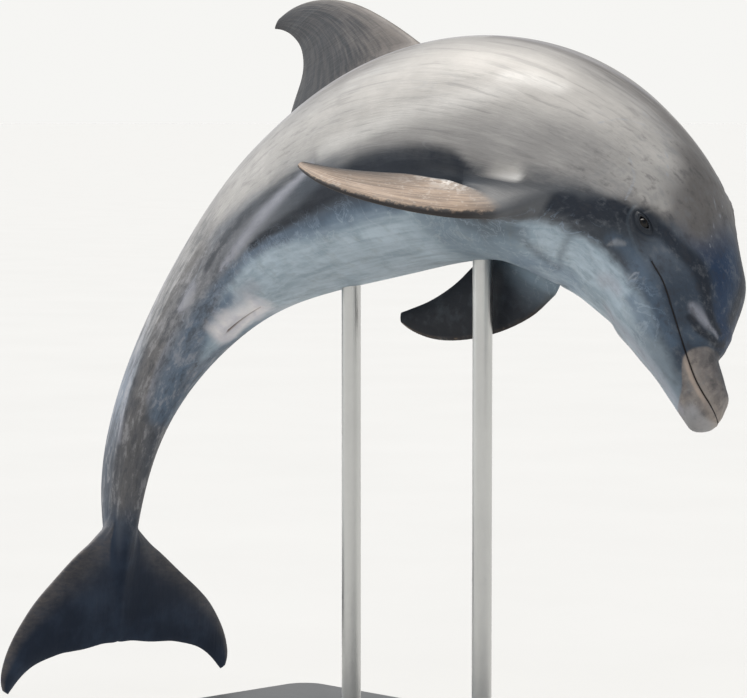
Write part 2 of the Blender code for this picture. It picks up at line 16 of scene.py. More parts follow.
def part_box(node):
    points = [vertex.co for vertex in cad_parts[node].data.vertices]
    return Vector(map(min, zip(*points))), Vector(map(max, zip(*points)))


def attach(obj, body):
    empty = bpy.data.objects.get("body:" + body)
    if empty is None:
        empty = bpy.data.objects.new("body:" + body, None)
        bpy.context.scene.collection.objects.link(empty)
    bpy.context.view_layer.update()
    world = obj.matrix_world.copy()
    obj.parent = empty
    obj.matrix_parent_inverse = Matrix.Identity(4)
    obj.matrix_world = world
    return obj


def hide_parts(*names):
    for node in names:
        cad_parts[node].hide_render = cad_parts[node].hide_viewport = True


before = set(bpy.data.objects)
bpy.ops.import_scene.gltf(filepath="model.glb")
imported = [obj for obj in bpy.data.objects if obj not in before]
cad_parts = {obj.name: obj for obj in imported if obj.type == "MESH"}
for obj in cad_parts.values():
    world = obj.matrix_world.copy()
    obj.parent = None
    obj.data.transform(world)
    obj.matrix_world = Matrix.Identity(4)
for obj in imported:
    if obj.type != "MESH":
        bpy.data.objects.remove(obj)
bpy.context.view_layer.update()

# ---- the body ----
# Head, trunk and tail stock of the dolphin: one hollow glass-fibre cast from a clay original.
# It is drawn straight first, as points (u, y, z): u lies behind the upper jaw's tip, y is left and
# z is towards the back. The skin is one closed sheet of rings, closer together on the head.
NOSE = -0.027
TAIL_END = 2.520
MELON_FRONT = 0.096
MELON_ROUND = 0.100
BEAK_ROUND = 0.030
BEAK_END = 0.420
CREASE_SOFTNESS = 0.010
TRUNK_SQUARE, TAIL_LESS, BEAK_SQUARE = 2.2, 0.5, 2.3     # powers of the oval sections; 2 is an ellipse
WIDEST = 0.40            # nothing of the body lies further than this from its middle line
GAPE = 0.277
EYE = (0.337, 0.147, -0.019)
# Stations of the trunk and of the beak: u, top, widest level, bottom, half width.
BODY = [
    (0.105, 0.078, -0.028, -0.130, 0.088),
    (0.160, 0.099, -0.024, -0.130, 0.096),
    (0.220, 0.117, -0.024, -0.133, 0.114),
    (0.340, 0.165, -0.030, -0.157, 0.147),
    (0.550, 0.199, -0.030, -0.211, 0.192),
    (0.800, 0.212, -0.020, -0.227, 0.216),
    (1.100, 0.206, -0.010, -0.224, 0.211),
    (1.400, 0.180, 0.000, -0.187, 0.159),
    (1.700, 0.142, 0.005, -0.131, 0.100),
    (2.000, 0.105, 0.004, -0.085, 0.056),
    (2.200, 0.074, 0.002, -0.062, 0.036),
    (2.320, 0.038, 0.000, -0.035, 0.034),
    (2.400, 0.017, 0.000, -0.017, 0.036),
    (2.480, 0.010, 0.000, -0.010, 0.034),
    (2.520, 0.006, 0.000, -0.006, 0.020),
]
BEAK = [
    (-0.027, -0.052, -0.084, -0.138, 0.038),
    (0.023, -0.046, -0.082, -0.142, 0.044),
    (0.075, -0.038, -0.078, -0.141, 0.052),
    (0.127, -0.029, -0.074, -0.139, 0.065),
    (0.200, -0.014, -0.070, -0.139, 0.088),
    (0.300, 0.010, -0.060, -0.146, 0.112),
    (0.420, 0.020, -0.050, -0.145, 0.120),
]
# The level of the mouth line, which runs up behind its corner to the level of the eye.
MOUTH = [(-0.027, -0.090), (0.040, -0.092), (0.111, -0.077), (0.182, -0.059), (0.226, -0.048),
         (0.277, -0.044), (0.337, -0.019), (0.450, -0.018), (0.800, -0.015), (1.400, 0.0), (2.520, 0.0)]
# The mesh of the skin: how many columns run round it, and how far apart its rings are at each u.
SKIN_COLUMNS = 76
SKIN_GAPS = [(NOSE, 0.0030), (0.03, 0.0065), (0.085, 0.0060), (0.12, 0.0050), (0.16, 0.0075),
             (0.30, 0.0070), (0.325, 0.0050), (0.36, 0.0050), (0.41, 0.0090), (0.55, 0.0150),
             (1.00, 0.0198), (2.05, 0.0218), (2.25, 0.0112), (2.52, 0.0070)]
HEAD_CROWDING = 0.7      # how much closer the columns lie along the mouth and the eye
CROWDED_TO = (0.36, 0.52)
FIRST_RING, LAST_RING, RING_TOO_CLOSE = NOSE + 0.0015, TAIL_END - 0.003, 0.005
HALVINGS = 30            # how often the search for the skin's surface halves its range


def spline(rows, at):
    """A smooth curve through hand-set rows, each a place followed by its values."""
    table = np.asarray(rows, float)
    places, values = table[:, 0], table[:, 1:]
    slopes = np.gradient(values, places, axis=0)
    at = np.clip(np.asarray(at, float), places[0], places[-1])
    k = np.clip(np.searchsorted(places, at, side="right") - 1, 0, len(places) - 2)
    step = (places[k + 1] - places[k])[..., None]
    t = (at - places[k])[..., None] / step
    start = (2 * t**3 - 3 * t**2 + 1) * values[k] + (t**3 - 2 * t**2 + t) * step * slopes[k]
    end = (3 * t**2 - 2 * t**3) * values[k + 1] + (t**3 - t**2) * step * slopes[k + 1]
    return np.squeeze(start + end, -1) if values.shape[1] == 1 else start + end


def smooth(start, end, at):
    """0 before start, 1 after end, and a soft step between them."""
    t = np.clip((at - start) / (end - start), 0, 1)
    return t * t * (3 - 2 * t)


def oval_depth(rows, u, y, z, power, front, rounding):
    """Roughly how far (y, z) lies outside the oval section that the rows give at u."""
    top, level, bottom, half = np.moveaxis(spline(rows, u), -1, 0)
    cap = np.sqrt(np.clip(1 - (1 - np.clip((u - front) / rounding, 0, 1)) ** 2, 0, 1))
    half = np.maximum(half * cap, 1e-5)
    height = np.maximum(np.where(z > level, top - level, level - bottom) * cap, 1e-5)
    size = ((np.abs(y) / half) ** power + (np.abs(z - level) / height) ** power) ** (1 / power)
    return (size - 1) * np.minimum(half, height)


def outside(u, y, z):
    """Negative inside the body and positive outside, near its surface in metres."""
    power = TRUNK_SQUARE - TAIL_LESS * smooth(1.2, 2.1, u)
    trunk = oval_depth(BODY, u, y, z, power, MELON_FRONT, MELON_ROUND) + np.maximum(MELON_FRONT - u, 0)
    beak = oval_depth(BEAK, u, y, z, BEAK_SQUARE, NOSE, BEAK_ROUND) + 0.2 * smooth(0.25, BEAK_END, u)
    nearer, other = np.minimum(trunk, beak), np.maximum(trunk, beak)
    return nearer - CREASE_SOFTNESS * np.log1p(np.exp((nearer - other) / CREASE_SOFTNESS))


def skin_point(u, angle):
    """The point of the skin at u in a direction round the mouth-and-eye line: 0 left, pi / 2 up."""
    u, angle = np.broadcast_arrays(np.asarray(u, float), np.asarray(angle, float))
    level = spline(MOUTH, u)
    near, far = np.zeros_like(u), np.full_like(u, WIDEST)
    for _ in range(HALVINGS):
        middle = (near + far) / 2
        out = outside(u, middle * np.cos(angle), level + middle * np.sin(angle)) > 0
        near, far = np.where(out, near, middle), np.where(out, middle, far)
    return np.stack([u, near * np.cos(angle), level + near * np.sin(angle)], -1)


def ring_places():
    """Where the rings of the skin lie along the body."""
    places = [FIRST_RING]
    while places[-1] < LAST_RING - RING_TOO_CLOSE:
        places.append(min(places[-1] + float(spline(SKIN_GAPS, places[-1])), LAST_RING))
    return np.array(places)


class Skin:
    """The closed skin of the straight dolphin, as a mesh whose vertices remember where they lie."""

    def __init__(self, columns, places):
        self.columns, self.places = columns, places
        self.mesh = bmesh.new()
        bmesh.ops.create_uvsphere(self.mesh, u_segments=columns, v_segments=len(places) + 1, radius=1)
        layers = self.mesh.verts.layers
        self.ring, self.column = layers.int.new("ring"), layers.int.new("column")
        self.along, self.across = layers.float.new("along"), layers.float.new("across")
        self.held, self.pulled = layers.float.new("held"), layers.float.new("pulled")
        self.reach = layers.float.new("reach")
        crowding = HEAD_CROWDING * (1 - smooth(*CROWDED_TO, places))[:, None]
        angles = np.arange(columns)[None, :] * 2 * pi / columns
        angles = angles - crowding * np.sin(2 * angles) / 2
        points = skin_point(places[:, None], angles)
        mouth = spline(MOUTH, [NOSE, TAIL_END])
        for vert in self.mesh.verts:
            ring = round(acos(max(-1, min(1, vert.co.z))) / pi * (len(places) + 1)) - 1
            column = round(atan2(vert.co.y, vert.co.x) / (2 * pi) * columns) % columns
            vert[self.ring], vert[self.column] = ring, column
            if ring < 0:
                vert.co = (NOSE, 0, mouth[0])
            elif ring == len(places):
                vert.co = (TAIL_END, 0, mouth[1])
            else:
                vert.co = points[ring, column]

    def patch(self, u_from, u_to, angle_from, angle_to):
        """The faces between two places along the body and two directions round it, in degrees."""
        first, last = (int(np.argmin(abs(self.places - u))) for u in (u_from, u_to))
        low, high = (round(angle / 360 * self.columns) for angle in (angle_from, angle_to))
        faces = []
        for face in self.mesh.faces:
            rings = [vert[self.ring] for vert in face.verts]
            turns = [(vert[self.column] - low) % self.columns for vert in face.verts]
            if min(rings) >= first and max(rings) <= last and max(turns) <= high - low:
                faces.append(face)
        for vert in {vert for face in faces for vert in face.verts}:
            vert[self.along] = 2 * (vert[self.ring] - first) / (last - first) - 1
            vert[self.across] = 2 * ((vert[self.column] - low) % self.columns) / (high - low) - 1
        return faces

    def pull(self, faces, section, spans, fillets, stiff=False):
        """Pull a fin out of a patch: a fillet up to the first span, then the fin's own sections."""
        verts = list({vert for face in faces for vert in face.verts})
        key = {(round(vert[self.along], 4), round(vert[self.across], 4)): k
               for k, vert in enumerate(verts)}
        along, across = (np.array([vert[layer] for vert in verts]) for layer in (self.along, self.across))
        skin = np.array([vert.co for vert in verts])
        foot = section(0.0, along, across)
        foot = skin_point(foot[:, 0], np.arctan2(foot[:, 2] - spline(MOUTH, foot[:, 0]), foot[:, 1]))
        wall = section(spans[0], along, across)
        rows = [(skin * (1 - share)**2 + foot * 2 * share * (1 - share) + wall * share**2, share**2, 0)
                for share in fillets] + [(section(s, along, across), 1.0, s) for s in spans]
        for points, held, reach in rows:
            fresh = bmesh.ops.extrude_face_region(self.mesh, geom=faces)["geom"]
            bmesh.ops.delete(self.mesh, geom=[face for face in faces if face.is_valid], context="FACES")
            faces = [item for item in fresh if isinstance(item, bmesh.types.BMFace)]
            for vert in {vert for face in faces for vert in face.verts}:
                vert.co = points[key[(round(vert[self.along], 4), round(vert[self.across], 4))]]
                vert[self.pulled], vert[self.reach] = 1.0, reach
                vert[self.held] = held if stiff else 0.0

    def soften(self, verts, times, along=True):
        """Smooth some of the points, also along the body or only across it."""
        for _ in range(times):
            bmesh.ops.smooth_vert(self.mesh, verts=verts, factor=0.5,
                                  use_axis_x=along, use_axis_y=True, use_axis_z=True)


skin = Skin(SKIN_COLUMNS, ring_places())

# ---- the fins ----
# Back fin, flukes and flippers: tough fins with no bone in the first two, cast in one with the body.
# Each is pulled out of a patch of the skin, with a soft fillet at its root.

# Outlines are leading and trailing edges from root to tip: (z, u) for the back fin, (y, u) for a
# fluke and (along its span, across it) for a flipper.
BACK_FIN_FRONT = [(0.208, 1.012), (0.268, 1.068), (0.346, 1.148), (0.426, 1.238), (0.4945, 1.333),
                  (0.532, 1.402), (0.538, 1.450)]
BACK_FIN_REAR = [(0.180, 1.466), (0.283, 1.424), (0.345, 1.395), (0.408, 1.395), (0.460, 1.414),
                 (0.500, 1.437), (0.528, 1.459)]
BACK_FIN_THICK = (0.050, 0.034, 0.022, 0.007)
FLUKE_FRONT = [(0.034, 2.272), (0.078, 2.316), (0.138, 2.352), (0.186, 2.390), (0.228, 2.430),
               (0.262, 2.474), (0.288, 2.522), (0.300, 2.570), (0.292, 2.606)]
FLUKE_REAR = [(0.028, 2.514), (0.060, 2.533), (0.100, 2.531), (0.140, 2.531), (0.188, 2.541),
              (0.222, 2.553), (0.250, 2.573), (0.271, 2.595), (0.284, 2.610)]
FLUKE_THICK = (0.040, 0.028, 0.018, 0.006)
FLIPPER_FRONT = [(0.000, -0.064), (0.084, -0.088), (0.168, -0.082), (0.252, -0.049), (0.330, 0.000),
                 (0.382, 0.053), (0.408, 0.094)]
FLIPPER_REAR = [(0.000, 0.064), (0.052, 0.084), (0.126, 0.088), (0.210, 0.079), (0.294, 0.083),
                (0.360, 0.097), (0.402, 0.108)]
FLIPPER_THICK = (0.044, 0.028, 0.018, 0.006)
FLIPPERS = {
    "flipper_right": ((0.596, -0.159, -0.117), (-0.70, -0.505, -0.51), (-0.71, 0.59, 0.38)),
    "flipper_left": ((0.706, 0.133, -0.183), (-0.68, 0.14, -0.72), (-0.735, -0.12, 0.668)),
}
# How far off the body a flipper stays: at its root, and how much further at its tip.
FLIPPER_CLEAR, FLIPPER_RISE = 0.014, 0.10
FIN_SPANS = (0.14, 0.19, 0.25, 0.31, 0.37, 0.43, 0.50, 0.57, 0.64, 0.71, 0.77, 0.83, 0.88, 0.92, 0.945,
             0.967)
FIN_FILLETS = (0.18, 0.36, 0.54, 0.72, 0.88)
# The patches that the fins are pulled out of: places along the body, and directions round it.
FLIPPER_PATCH = (0.11, 15)
BACK_FIN_PATCH = (0.97, 1.51, 78, 102)
FLUKE_PATCH = (2.245, 2.505, 34)


def fin_section(front, rear, thick, s, along, across):
    """Points of a fin's lens section at the share s of its span: two places in its plane, one out."""
    spread = np.linspace(0, 1, len(front))
    fore = spline(np.column_stack([spread, front]), s)
    aft = spline(np.column_stack([spread, rear]), s)
    depth = spline(np.column_stack([(0, 0.33, 0.67, 1), thick]), s) / 2
    chord = along * np.sqrt(1 - across**2 / 2)
    rise = across * np.sqrt(1 - along**2 / 2)
    share = (1 + chord) / 2
    rim = np.sqrt(np.maximum(1 - chord**2, 1e-9))
    # Fullest a little over a third of the way back, with a thin blunt rim.
    lens = 2.4 * np.sqrt(share) * (1 - share) ** 0.8 + 0.06 * rim
    place = fore + (aft - fore) * share[:, None]
    return place[:, 0], place[:, 1], depth * lens * rise / rim


def back_fin(s, along, across):
    """Points of the back fin; its thickness runs from its left side to its right."""
    z, u, thickness = fin_section(BACK_FIN_FRONT, BACK_FIN_REAR, BACK_FIN_THICK, s, along, across)
    return np.stack([u, -thickness, z], -1)


def fluke(side, s, along, across):
    """Points of a fluke; side is 1 for the left one and -1 for the right one."""
    y, u, thickness = fin_section(FLUKE_FRONT, FLUKE_REAR, FLUKE_THICK, s, along, across)
    return np.stack([u, side * y, side * thickness], -1)


def out_of_body(name):
    """The way straight out of the body at a flipper's root."""
    (_, y, z), _, _ = FLIPPERS[name]
    return Vector((0, y, z + 0.02))


def flipper(name, s, along, across):
    """Points of a flipper, whose root is slanted to lie along the side of the body."""
    (u, y, z), span, chord = FLIPPERS[name]
    span, chord = Vector(span).normalized(), Vector(chord)
    chord = (chord - span * chord.dot(span)).normalized()
    outward = out_of_body(name)
    flat = span.cross(chord)
    slant, lean = -chord.dot(outward) / span.dot(outward), -flat.dot(outward) / span.dot(outward)
    a, b, thickness = fin_section(FLIPPER_FRONT, FLIPPER_REAR, FLIPPER_THICK, s, along, across)
    a = a + (b * slant + thickness * lean) * (1 - s) ** 2
    place = np.outer(a, span) + np.outer(b, chord) + np.outer(thickness, flat)
    points = np.stack([u - place[:, 0], y + place[:, 1], z + place[:, 2]], -1)
    short = FLIPPER_CLEAR + FLIPPER_RISE * s - outside(*points.T)
    return points + np.outer(np.maximum(short, 0), outward.normalized())


long, wide = FLIPPER_PATCH
for name, ((u, y, z), _, _) in FLIPPERS.items():
    middle = degrees(atan2(z - spline(MOUTH, u), y)) % 360
    skin.pull(skin.patch(u - long, u + long, middle - wide, middle + wide),
              lambda s, along, across: flipper(name, s, along, across), FIN_SPANS, FIN_FILLETS, True)
skin.soften([vert for vert in skin.mesh.verts if vert[skin.pulled] > 0 and vert[skin.reach] <= 0.20], 6)
skin.pull(skin.patch(*BACK_FIN_PATCH), back_fin, FIN_SPANS, FIN_FILLETS)
start, end, wide = FLUKE_PATCH
for side, middle in ((1, 0), (-1, 180)):
    skin.pull(skin.patch(start, end, middle - wide, middle + wide),
              lambda s, along, across: fluke(side, s, along, across), FIN_SPANS, FIN_FILLETS)
# The roots of the flukes are softened across the tail, then the notch between them in every direction.
for behind, up_to, times, lengthwise in ((2.28, 0.38, 60, False), (2.47, 0.26, 16, True)):
    roots = [vert for vert in skin.mesh.verts if vert.co.x > behind and vert[skin.reach] <= up_to]
    skin.soften(roots, times, lengthwise)

# ---- the relief of the skin ----
# What the sculptor cut into the clay: the mouth, the lids, the blowhole, folds and keels.
# The sheet is smoothed once, drawn exactly over the form, refined where the relief is fine, and
# then every point is moved in or out along its own normal.
def made_object(name, mesh):
    """A scene object of a finished bmesh."""
    data = bpy.data.meshes.new(name)
    mesh.to_mesh(data)
    mesh.free()
    piece = bpy.data.objects.new(name, data)
    bpy.context.scene.collection.objects.link(piece)
    return piece


def smoothed(piece, levels):
    """The piece's mesh after subdivision, with the piece taken away."""
    step = piece.modifiers.new("smooth", "SUBSURF")
    step.levels = step.render_levels = levels
    data = bpy.data.meshes.new_from_object(piece.evaluated_get(bpy.context.evaluated_depsgraph_get()))
    bpy.data.objects.remove(piece)
    return data


def refine(mesh, centre, radius):
    """Halve the edges of a mesh round a place."""
    centre = Vector(centre)
    edges = [edge for edge in mesh.edges
             if all((vert.co - centre).length < radius for vert in edge.verts)]
    bmesh.ops.subdivide_edges(mesh, edges=edges, cuts=1, use_grid_fill=True)


FAR = 9.0        # a distance that counts as nowhere near


def column_of(mesh, name):
    """The numbers that a mesh keeps for its points under a name."""
    values = np.zeros(len(mesh.vertices), np.float32)
    mesh.attributes[name].data.foreach_get("value", values)
    return values.astype(float)


def distance(points, place):
    """Distance of each point from a place."""
    return np.linalg.norm(points - place, axis=1)


def near_line(points, line, widths=None):
    """Distance of each point from a line, in metres, or in half widths of the line if it has them."""
    line = np.array(line, float)
    widths = np.ones(len(line)) if widths is None else widths
    nearest = np.full(len(points), FAR)
    for start, end, wide, widest in zip(line[:-1], line[1:], widths[:-1], widths[1:]):
        way = end - start
        share = np.clip((points - start) @ way / (way @ way), 0, 1)
        off = distance(points, start + share[:, None] * way)
        nearest = np.minimum(nearest, off / (wide + (widest - wide) * share))
    return nearest


def ridge(off, width):
    """1 on a line and fading to nothing beside it."""
    return np.exp(-(off / width) ** 2)


def swell(off, *rings):
    """Relief in rings round a line or a spot: the height of each, how far out it is, and its width."""
    return sum(height * ridge(off - out, width) for height, out, width in rings)


BLOWHOLE = (0.350, 0.008)
EYE_REFINED, BLOWHOLE_REFINED = (0.045, 0.024), (0.045, 0.026)
DRAWN_NEAR, DRAWN_AHEAD = 0.06, 0.050       # the refined skin is drawn exactly over the form again here
CROWN = float(spline(BODY, BLOWHOLE[0])[0])
whole = bmesh.new()
whole.from_mesh(smoothed(made_object("cage", skin.mesh), 1))
for side in (1, -1):
    for radius in EYE_REFINED:
        refine(whole, (EYE[0], side * EYE[1], EYE[2]), radius)
for radius in BLOWHOLE_REFINED:
    refine(whole, (*BLOWHOLE, CROWN), radius)
flesh = made_object("dolphin_skin", whole)
data = flesh.data

straight = np.zeros(len(data.vertices) * 3)
data.vertices.foreach_get("co", straight)
straight = straight.reshape(-1, 3)
held, pulled, reach = (column_of(data, name) for name in ("held", "pulled", "reach"))
along, across = column_of(data, "along"), column_of(data, "across")
body = pulled < 1e-4
level = spline(MOUTH, straight[:, 0])
turned = np.arctan2(straight[:, 2] - level, straight[:, 1])
# Smoothing drew the tip of the beak in, so it goes forward again first.
straight[:, 0] -= 0.006 * (1 - smooth(NOSE + 0.004, 0.020, straight[:, 0])) * body
fine = body & ((straight[:, 0] < DRAWN_AHEAD) |
               (distance(np.abs(straight), np.abs(EYE)) < DRAWN_NEAR) |
               (distance(straight, (*BLOWHOLE, CROWN)) < DRAWN_NEAR))
straight[fine] = skin_point(straight[fine, 0], turned[fine])
data.vertices.foreach_set("co", straight.ravel())
data.update()
normal = np.zeros(len(data.vertices) * 3)
data.vertex_normals.foreach_get("vector", normal)
normal = -normal.reshape(-1, 3)     # u runs backwards, so in straight places the faces look inwards

u, y, z = straight.T
off_side = np.abs(y)
both = np.stack([u, off_side, z], -1)
level = spline(MOUTH, u)
flesh_of_body = 1 - smooth(0, 1, pulled)

# The mouth: a fine groove with full lips, and the upper jaw set back behind the lower one's tip.
mouth_u = np.linspace(-0.027, 0.4, 200)
mouth_slope = np.arctan(np.gradient(spline(MOUTH, mouth_u), mouth_u))
rise = (z - level) * np.cos(mouth_slope[np.clip(((u + 0.027) / 0.427 * 199).astype(int), 0, 199)])
mouth_open = (1 - smooth(GAPE - 0.004, GAPE + 0.006, u)) * flesh_of_body
lips = mouth_open * smooth(NOSE, NOSE + 0.03, u)
relief = swell(rise, (-0.0034, 0, 0.0018), (0.0010, 0.007, 0.006), (0.0016, -0.006, 0.006)) * lips
lift = (0.003 + 0.0076 * smooth(0.010, 0.100, u)) * (1 - smooth(0.104, 0.128, u))
lift = lift * smooth(0.0, 0.040, rise) * flesh_of_body - 0.0035 * (1 - smooth(NOSE, 0.040, u))
set_back = 0.004 * smooth(-0.003, 0.005, rise) + 0.010 * smooth(0.0, 0.030, rise)
set_back += 0.003 * smooth(-0.018, -0.002, rise)
set_back *= (1 - smooth(NOSE, 0.060, u)) * flesh_of_body

# The eyes: a soft mound, a fold round it, thick lids, and the half-moon opening that the eyeball fills.
EYE_LENGTH, EYE_HEIGHT, EYE_DEPTH, EYE_SLANT = 0.0140, 0.0040, 0.0086, radians(-16)
LID_DROP, LID_SQUARE = 0.0015, 1.7
eye_spot = skin_point(EYE[0], 0.0)
ahead = skin_point(EYE[0] - 0.012, 0.0) - skin_point(EYE[0] + 0.012, 0.0)
above = skin_point(EYE[0], 0.08) - skin_point(EYE[0], -0.08)
ahead, above = ahead / np.linalg.norm(ahead), above / np.linalg.norm(above)
gaze = np.cross(above, ahead)
gaze = gaze / np.linalg.norm(gaze) * np.sign(gaze[1])
above = np.cross(gaze, ahead) * np.sign(np.cross(gaze, ahead)[2])
eye_a, eye_b = (both - eye_spot) @ ahead, (both - eye_spot) @ above
eye_c = (both - eye_spot) @ gaze
lid_a = eye_a * np.cos(EYE_SLANT) - eye_b * np.sin(EYE_SLANT)
lid_b = eye_a * np.sin(EYE_SLANT) + eye_b * np.cos(EYE_SLANT) - LID_DROP
at_eye = (np.abs(eye_c) < 0.03) * flesh_of_body
from_eye = np.hypot(eye_a, eye_b) + FAR * (1 - at_eye)
gap = np.where(lid_b > 0, EYE_HEIGHT, EYE_DEPTH)
lid = (np.abs(lid_a / EYE_LENGTH) ** LID_SQUARE + np.abs(lid_b / gap) ** LID_SQUARE) ** (1 / LID_SQUARE)
lid += FAR * (1 - at_eye)     # 1 on the edge of the lids, and more outside them
upper = smooth(-0.004, 0.004, lid_b)
relief += swell(from_eye, (0.0045, 0, 0.026))
relief += swell(lid, (0.0010 + 0.0016 * upper, 1.35, 0.26), (-0.0012, 1.95, 0.20),
                (0.0007, 2.5, 0.3), (-0.0007 * (1 - upper), 3.1, 0.25))
relief -= 0.011 * (1 - smooth(0.74, 1.0, lid))

# The blowhole: a crescent slit with soft lips, a little to the left on the crown.
HOLE_HALF = 0.017
hole_u, hole_y = u - BLOWHOLE[0], y - BLOWHOLE[1]
on_crown = (z > 0.10) * flesh_of_body
hole_bend = 0.010 - 0.017 * (hole_y / 0.018) ** 2
hole_off = np.hypot((hole_u - hole_bend) / (1 + (hole_y / 0.012) ** 2) ** 0.5,
                    np.maximum(np.abs(hole_y) - HOLE_HALF, 0)) + FAR * (1 - on_crown)
from_hole = np.hypot(hole_u, hole_y) + FAR * (1 - on_crown)
relief += swell(from_hole, (0.0030, 0.012, 0.020), (-0.0015, 0.038, 0.005))
relief += swell(hole_off, (0.0012, 0.0055, 0.003), (-0.0075, 0, 0.0026))

# Folds and creases, each a line on both sides: its depth, its width, and places as u and degrees
# over the mouth and side line.
TAIL_SCARS = [[(1.585, -16), (1.635, -24), (1.690, -27), (1.730, -22)],
              [(1.803, -10), (1.796, -24), (1.806, -34), (1.798, -46)]]
FOLDS = [
    (0.0022, 0.0050, [(0.592, -49), (0.516, -55), (0.472, -66), (0.418, -76), (0.380, -84)]),
    (0.0016, 0.0045, [(0.412, -42), (0.412, -58), (0.412, -74)]),
    (0.0014, 0.0040, [(0.548, -70), (0.505, -74), (0.468, -80)]),
    (0.0013, 0.0035, [(0.374, -1), (0.361, -8), (0.336, -11), (0.302, -9), (0.274, -4)]),
    (0.0010, 0.0030, [(0.268, 1), (0.283, -4), (0.297, -10), (0.310, -13)]),
    (0.0012, 0.0045, [(0.356, 3), (0.352, 10), (0.336, 13), (0.318, 11)]),
    (-0.0022, 0.0070, [(1.62, -4), (1.75, -6), (1.90, -9), (2.05, -12), (2.22, -14)]),
    (0.0014, 0.0030, TAIL_SCARS[0]),
    (-0.0014, 0.0030, TAIL_SCARS[1]),
    (0.0012, 0.0035, [(1.700, -62), (1.780, -58), (1.860, -60)]),
    (0.0014, 0.0050, [(0.66, -27), (0.62, -24), (0.57, -22), (0.53, -24)]),
]


def skin_line(places):
    """A line of points on the skin through places given as u and degrees."""
    spread = np.linspace(0, len(places) - 1, 4 * len(places) - 3)
    u, angle = spline([(k, *place) for k, place in enumerate(places)], spread).T
    return skin_point(u, np.radians(angle))


for depth, width, line in FOLDS:
    relief -= depth * ridge(near_line(both, skin_line(line)), width) * flesh_of_body

# Marks of the belly, all on the middle line: navel, slit and vent. Then the ear's pinhole and the
# knob of the jaw's hinge.
NAVEL, SLIT, VENT = 1.232, [(1.580, 0.0, -0.156), (1.719, 0.0, -0.128)], 1.794
EAR, KNOB = (0.392, 0.05), (0.335, 0.136, -0.081)
underside = (z < -0.05) * flesh_of_body
navel = np.hypot(u - NAVEL, y) + FAR * (1 - underside)
slit = near_line(straight, SLIT) + FAR * (1 - underside)
vent = np.hypot(u - VENT, y) + FAR * (1 - underside)
relief += swell(navel, (-0.0030, 0, 0.006))
relief += swell(slit, (0.0035, 0.010, 0.009), (-0.0055, 0, 0.0042))
relief += swell(vent, (0.0016, 0.008, 0.006), (-0.0030, 0, 0.004))
relief += swell(distance(both, skin_point(*EAR)), (-0.0022, 0, 0.0028))
relief += swell(distance(both, KNOB), (0.0030, 0, 0.011))

# ---- the bend into the leap ----
# The sculpted form is arched down, bent to its left and set at its trim over the stand.
# The cast's right eye socket tells where on the stand it hangs.
SPINE_REST = 0.90
ARCH = [(0.38, -55), (0.55, -43), (0.78, -19), (1.05, 0), (1.40, 12), (1.75, 41), (2.05, 63),
        (2.25, 76), (2.45, 73)]
SIDE_BEND = [(0.38, 18), (0.62, 9), (0.90, 0), (1.40, -4), (1.90, -5), (2.25, -19), (2.45, -25)]
ROLL = [(0.38, -30), (0.62, -4), (0.90, 0), (1.40, -6), (1.90, -9), (2.25, -1), (2.45, -2)]
NOSE_UP = 4.4
LEFT_DOWN = 15.5
EYE_INSET = 0.010         # the eye socket's middle lies this far inside the widest line


class Spine:
    """The bent spine: for each u a centre and the directions forward, left and to the back."""

    def __init__(self):
        self.u = np.linspace(-0.05, 2.75, 281)
        turns = np.radians([spline(rows, self.u) for rows in (ROLL, ARCH, SIDE_BEND)]).T
        rest = int(np.argmin(abs(self.u - SPINE_REST)))
        axes = [None] * len(self.u)
        axes[rest] = Matrix.Identity(3)
        for k in list(range(rest + 1, len(self.u))) + list(range(rest - 1, -1, -1)):
            before = k - 1 if k > rest else k + 1
            roll, arch, side = turns[k] - turns[before]
            turn = Vector((roll, -arch, side))
            step = Matrix.Rotation(turn.length, 3, turn) if turn.length else Matrix.Identity(3)
            axes[k] = axes[before] @ step
        self.axes = np.array([[tuple(row) for row in step] for step in axes])
        forward = self.axes[:, :, 0]
        steps = (forward[1:] + forward[:-1]) / 2 * (self.u[1] - self.u[0])
        self.centre = np.vstack([np.zeros(3), -np.cumsum(steps, axis=0)])
        self.centre -= self.centre[rest]

    def at(self, u):
        """The directions and the centre of the spine at u."""
        axes = [[np.interp(u, self.u, self.axes[:, i, j]) for j in range(3)] for i in range(3)]
        centre = np.stack([np.interp(u, self.u, self.centre[:, i]) for i in range(3)], -1)
        return np.moveaxis(np.array(axes), (0, 1), (-2, -1)), centre

    def bend(self, points, held=0.0, held_at=0.0):
        """Where straight points go; held is how far a point keeps stiff with the station held_at."""
        u, y, z = np.moveaxis(np.asarray(points, float), -1, 0)
        u, held, held_at = np.broadcast_arrays(u, held, held_at)
        axes, centre = self.at(u)
        bent = centre + y[..., None] * axes[..., 1] + z[..., None] * axes[..., 2]
        axes, centre = self.at(held_at)
        stiff = centre + np.einsum("...ij,...j->...i", axes, np.stack([held_at - u, y, z], -1))
        return bent + (stiff - bent) * held[..., None]


SPINE = Spine()
TRIM = np.array(Matrix.Rotation(-radians(NOSE_UP), 3, "Y") @ Matrix.Rotation(-radians(LEFT_DOWN), 3, "X"))
socket_low, socket_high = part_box("eye_right")
PLACE = np.array((socket_low + socket_high) / 2) - TRIM @ SPINE.bend((EYE[0], EYE_INSET - EYE[1], EYE[2]))


def on_stand(points, held=0.0, held_at=0.0):
    """Where straight points of the dolphin stand in the room."""
    return SPINE.bend(points, held, held_at) @ TRIM.T + PLACE


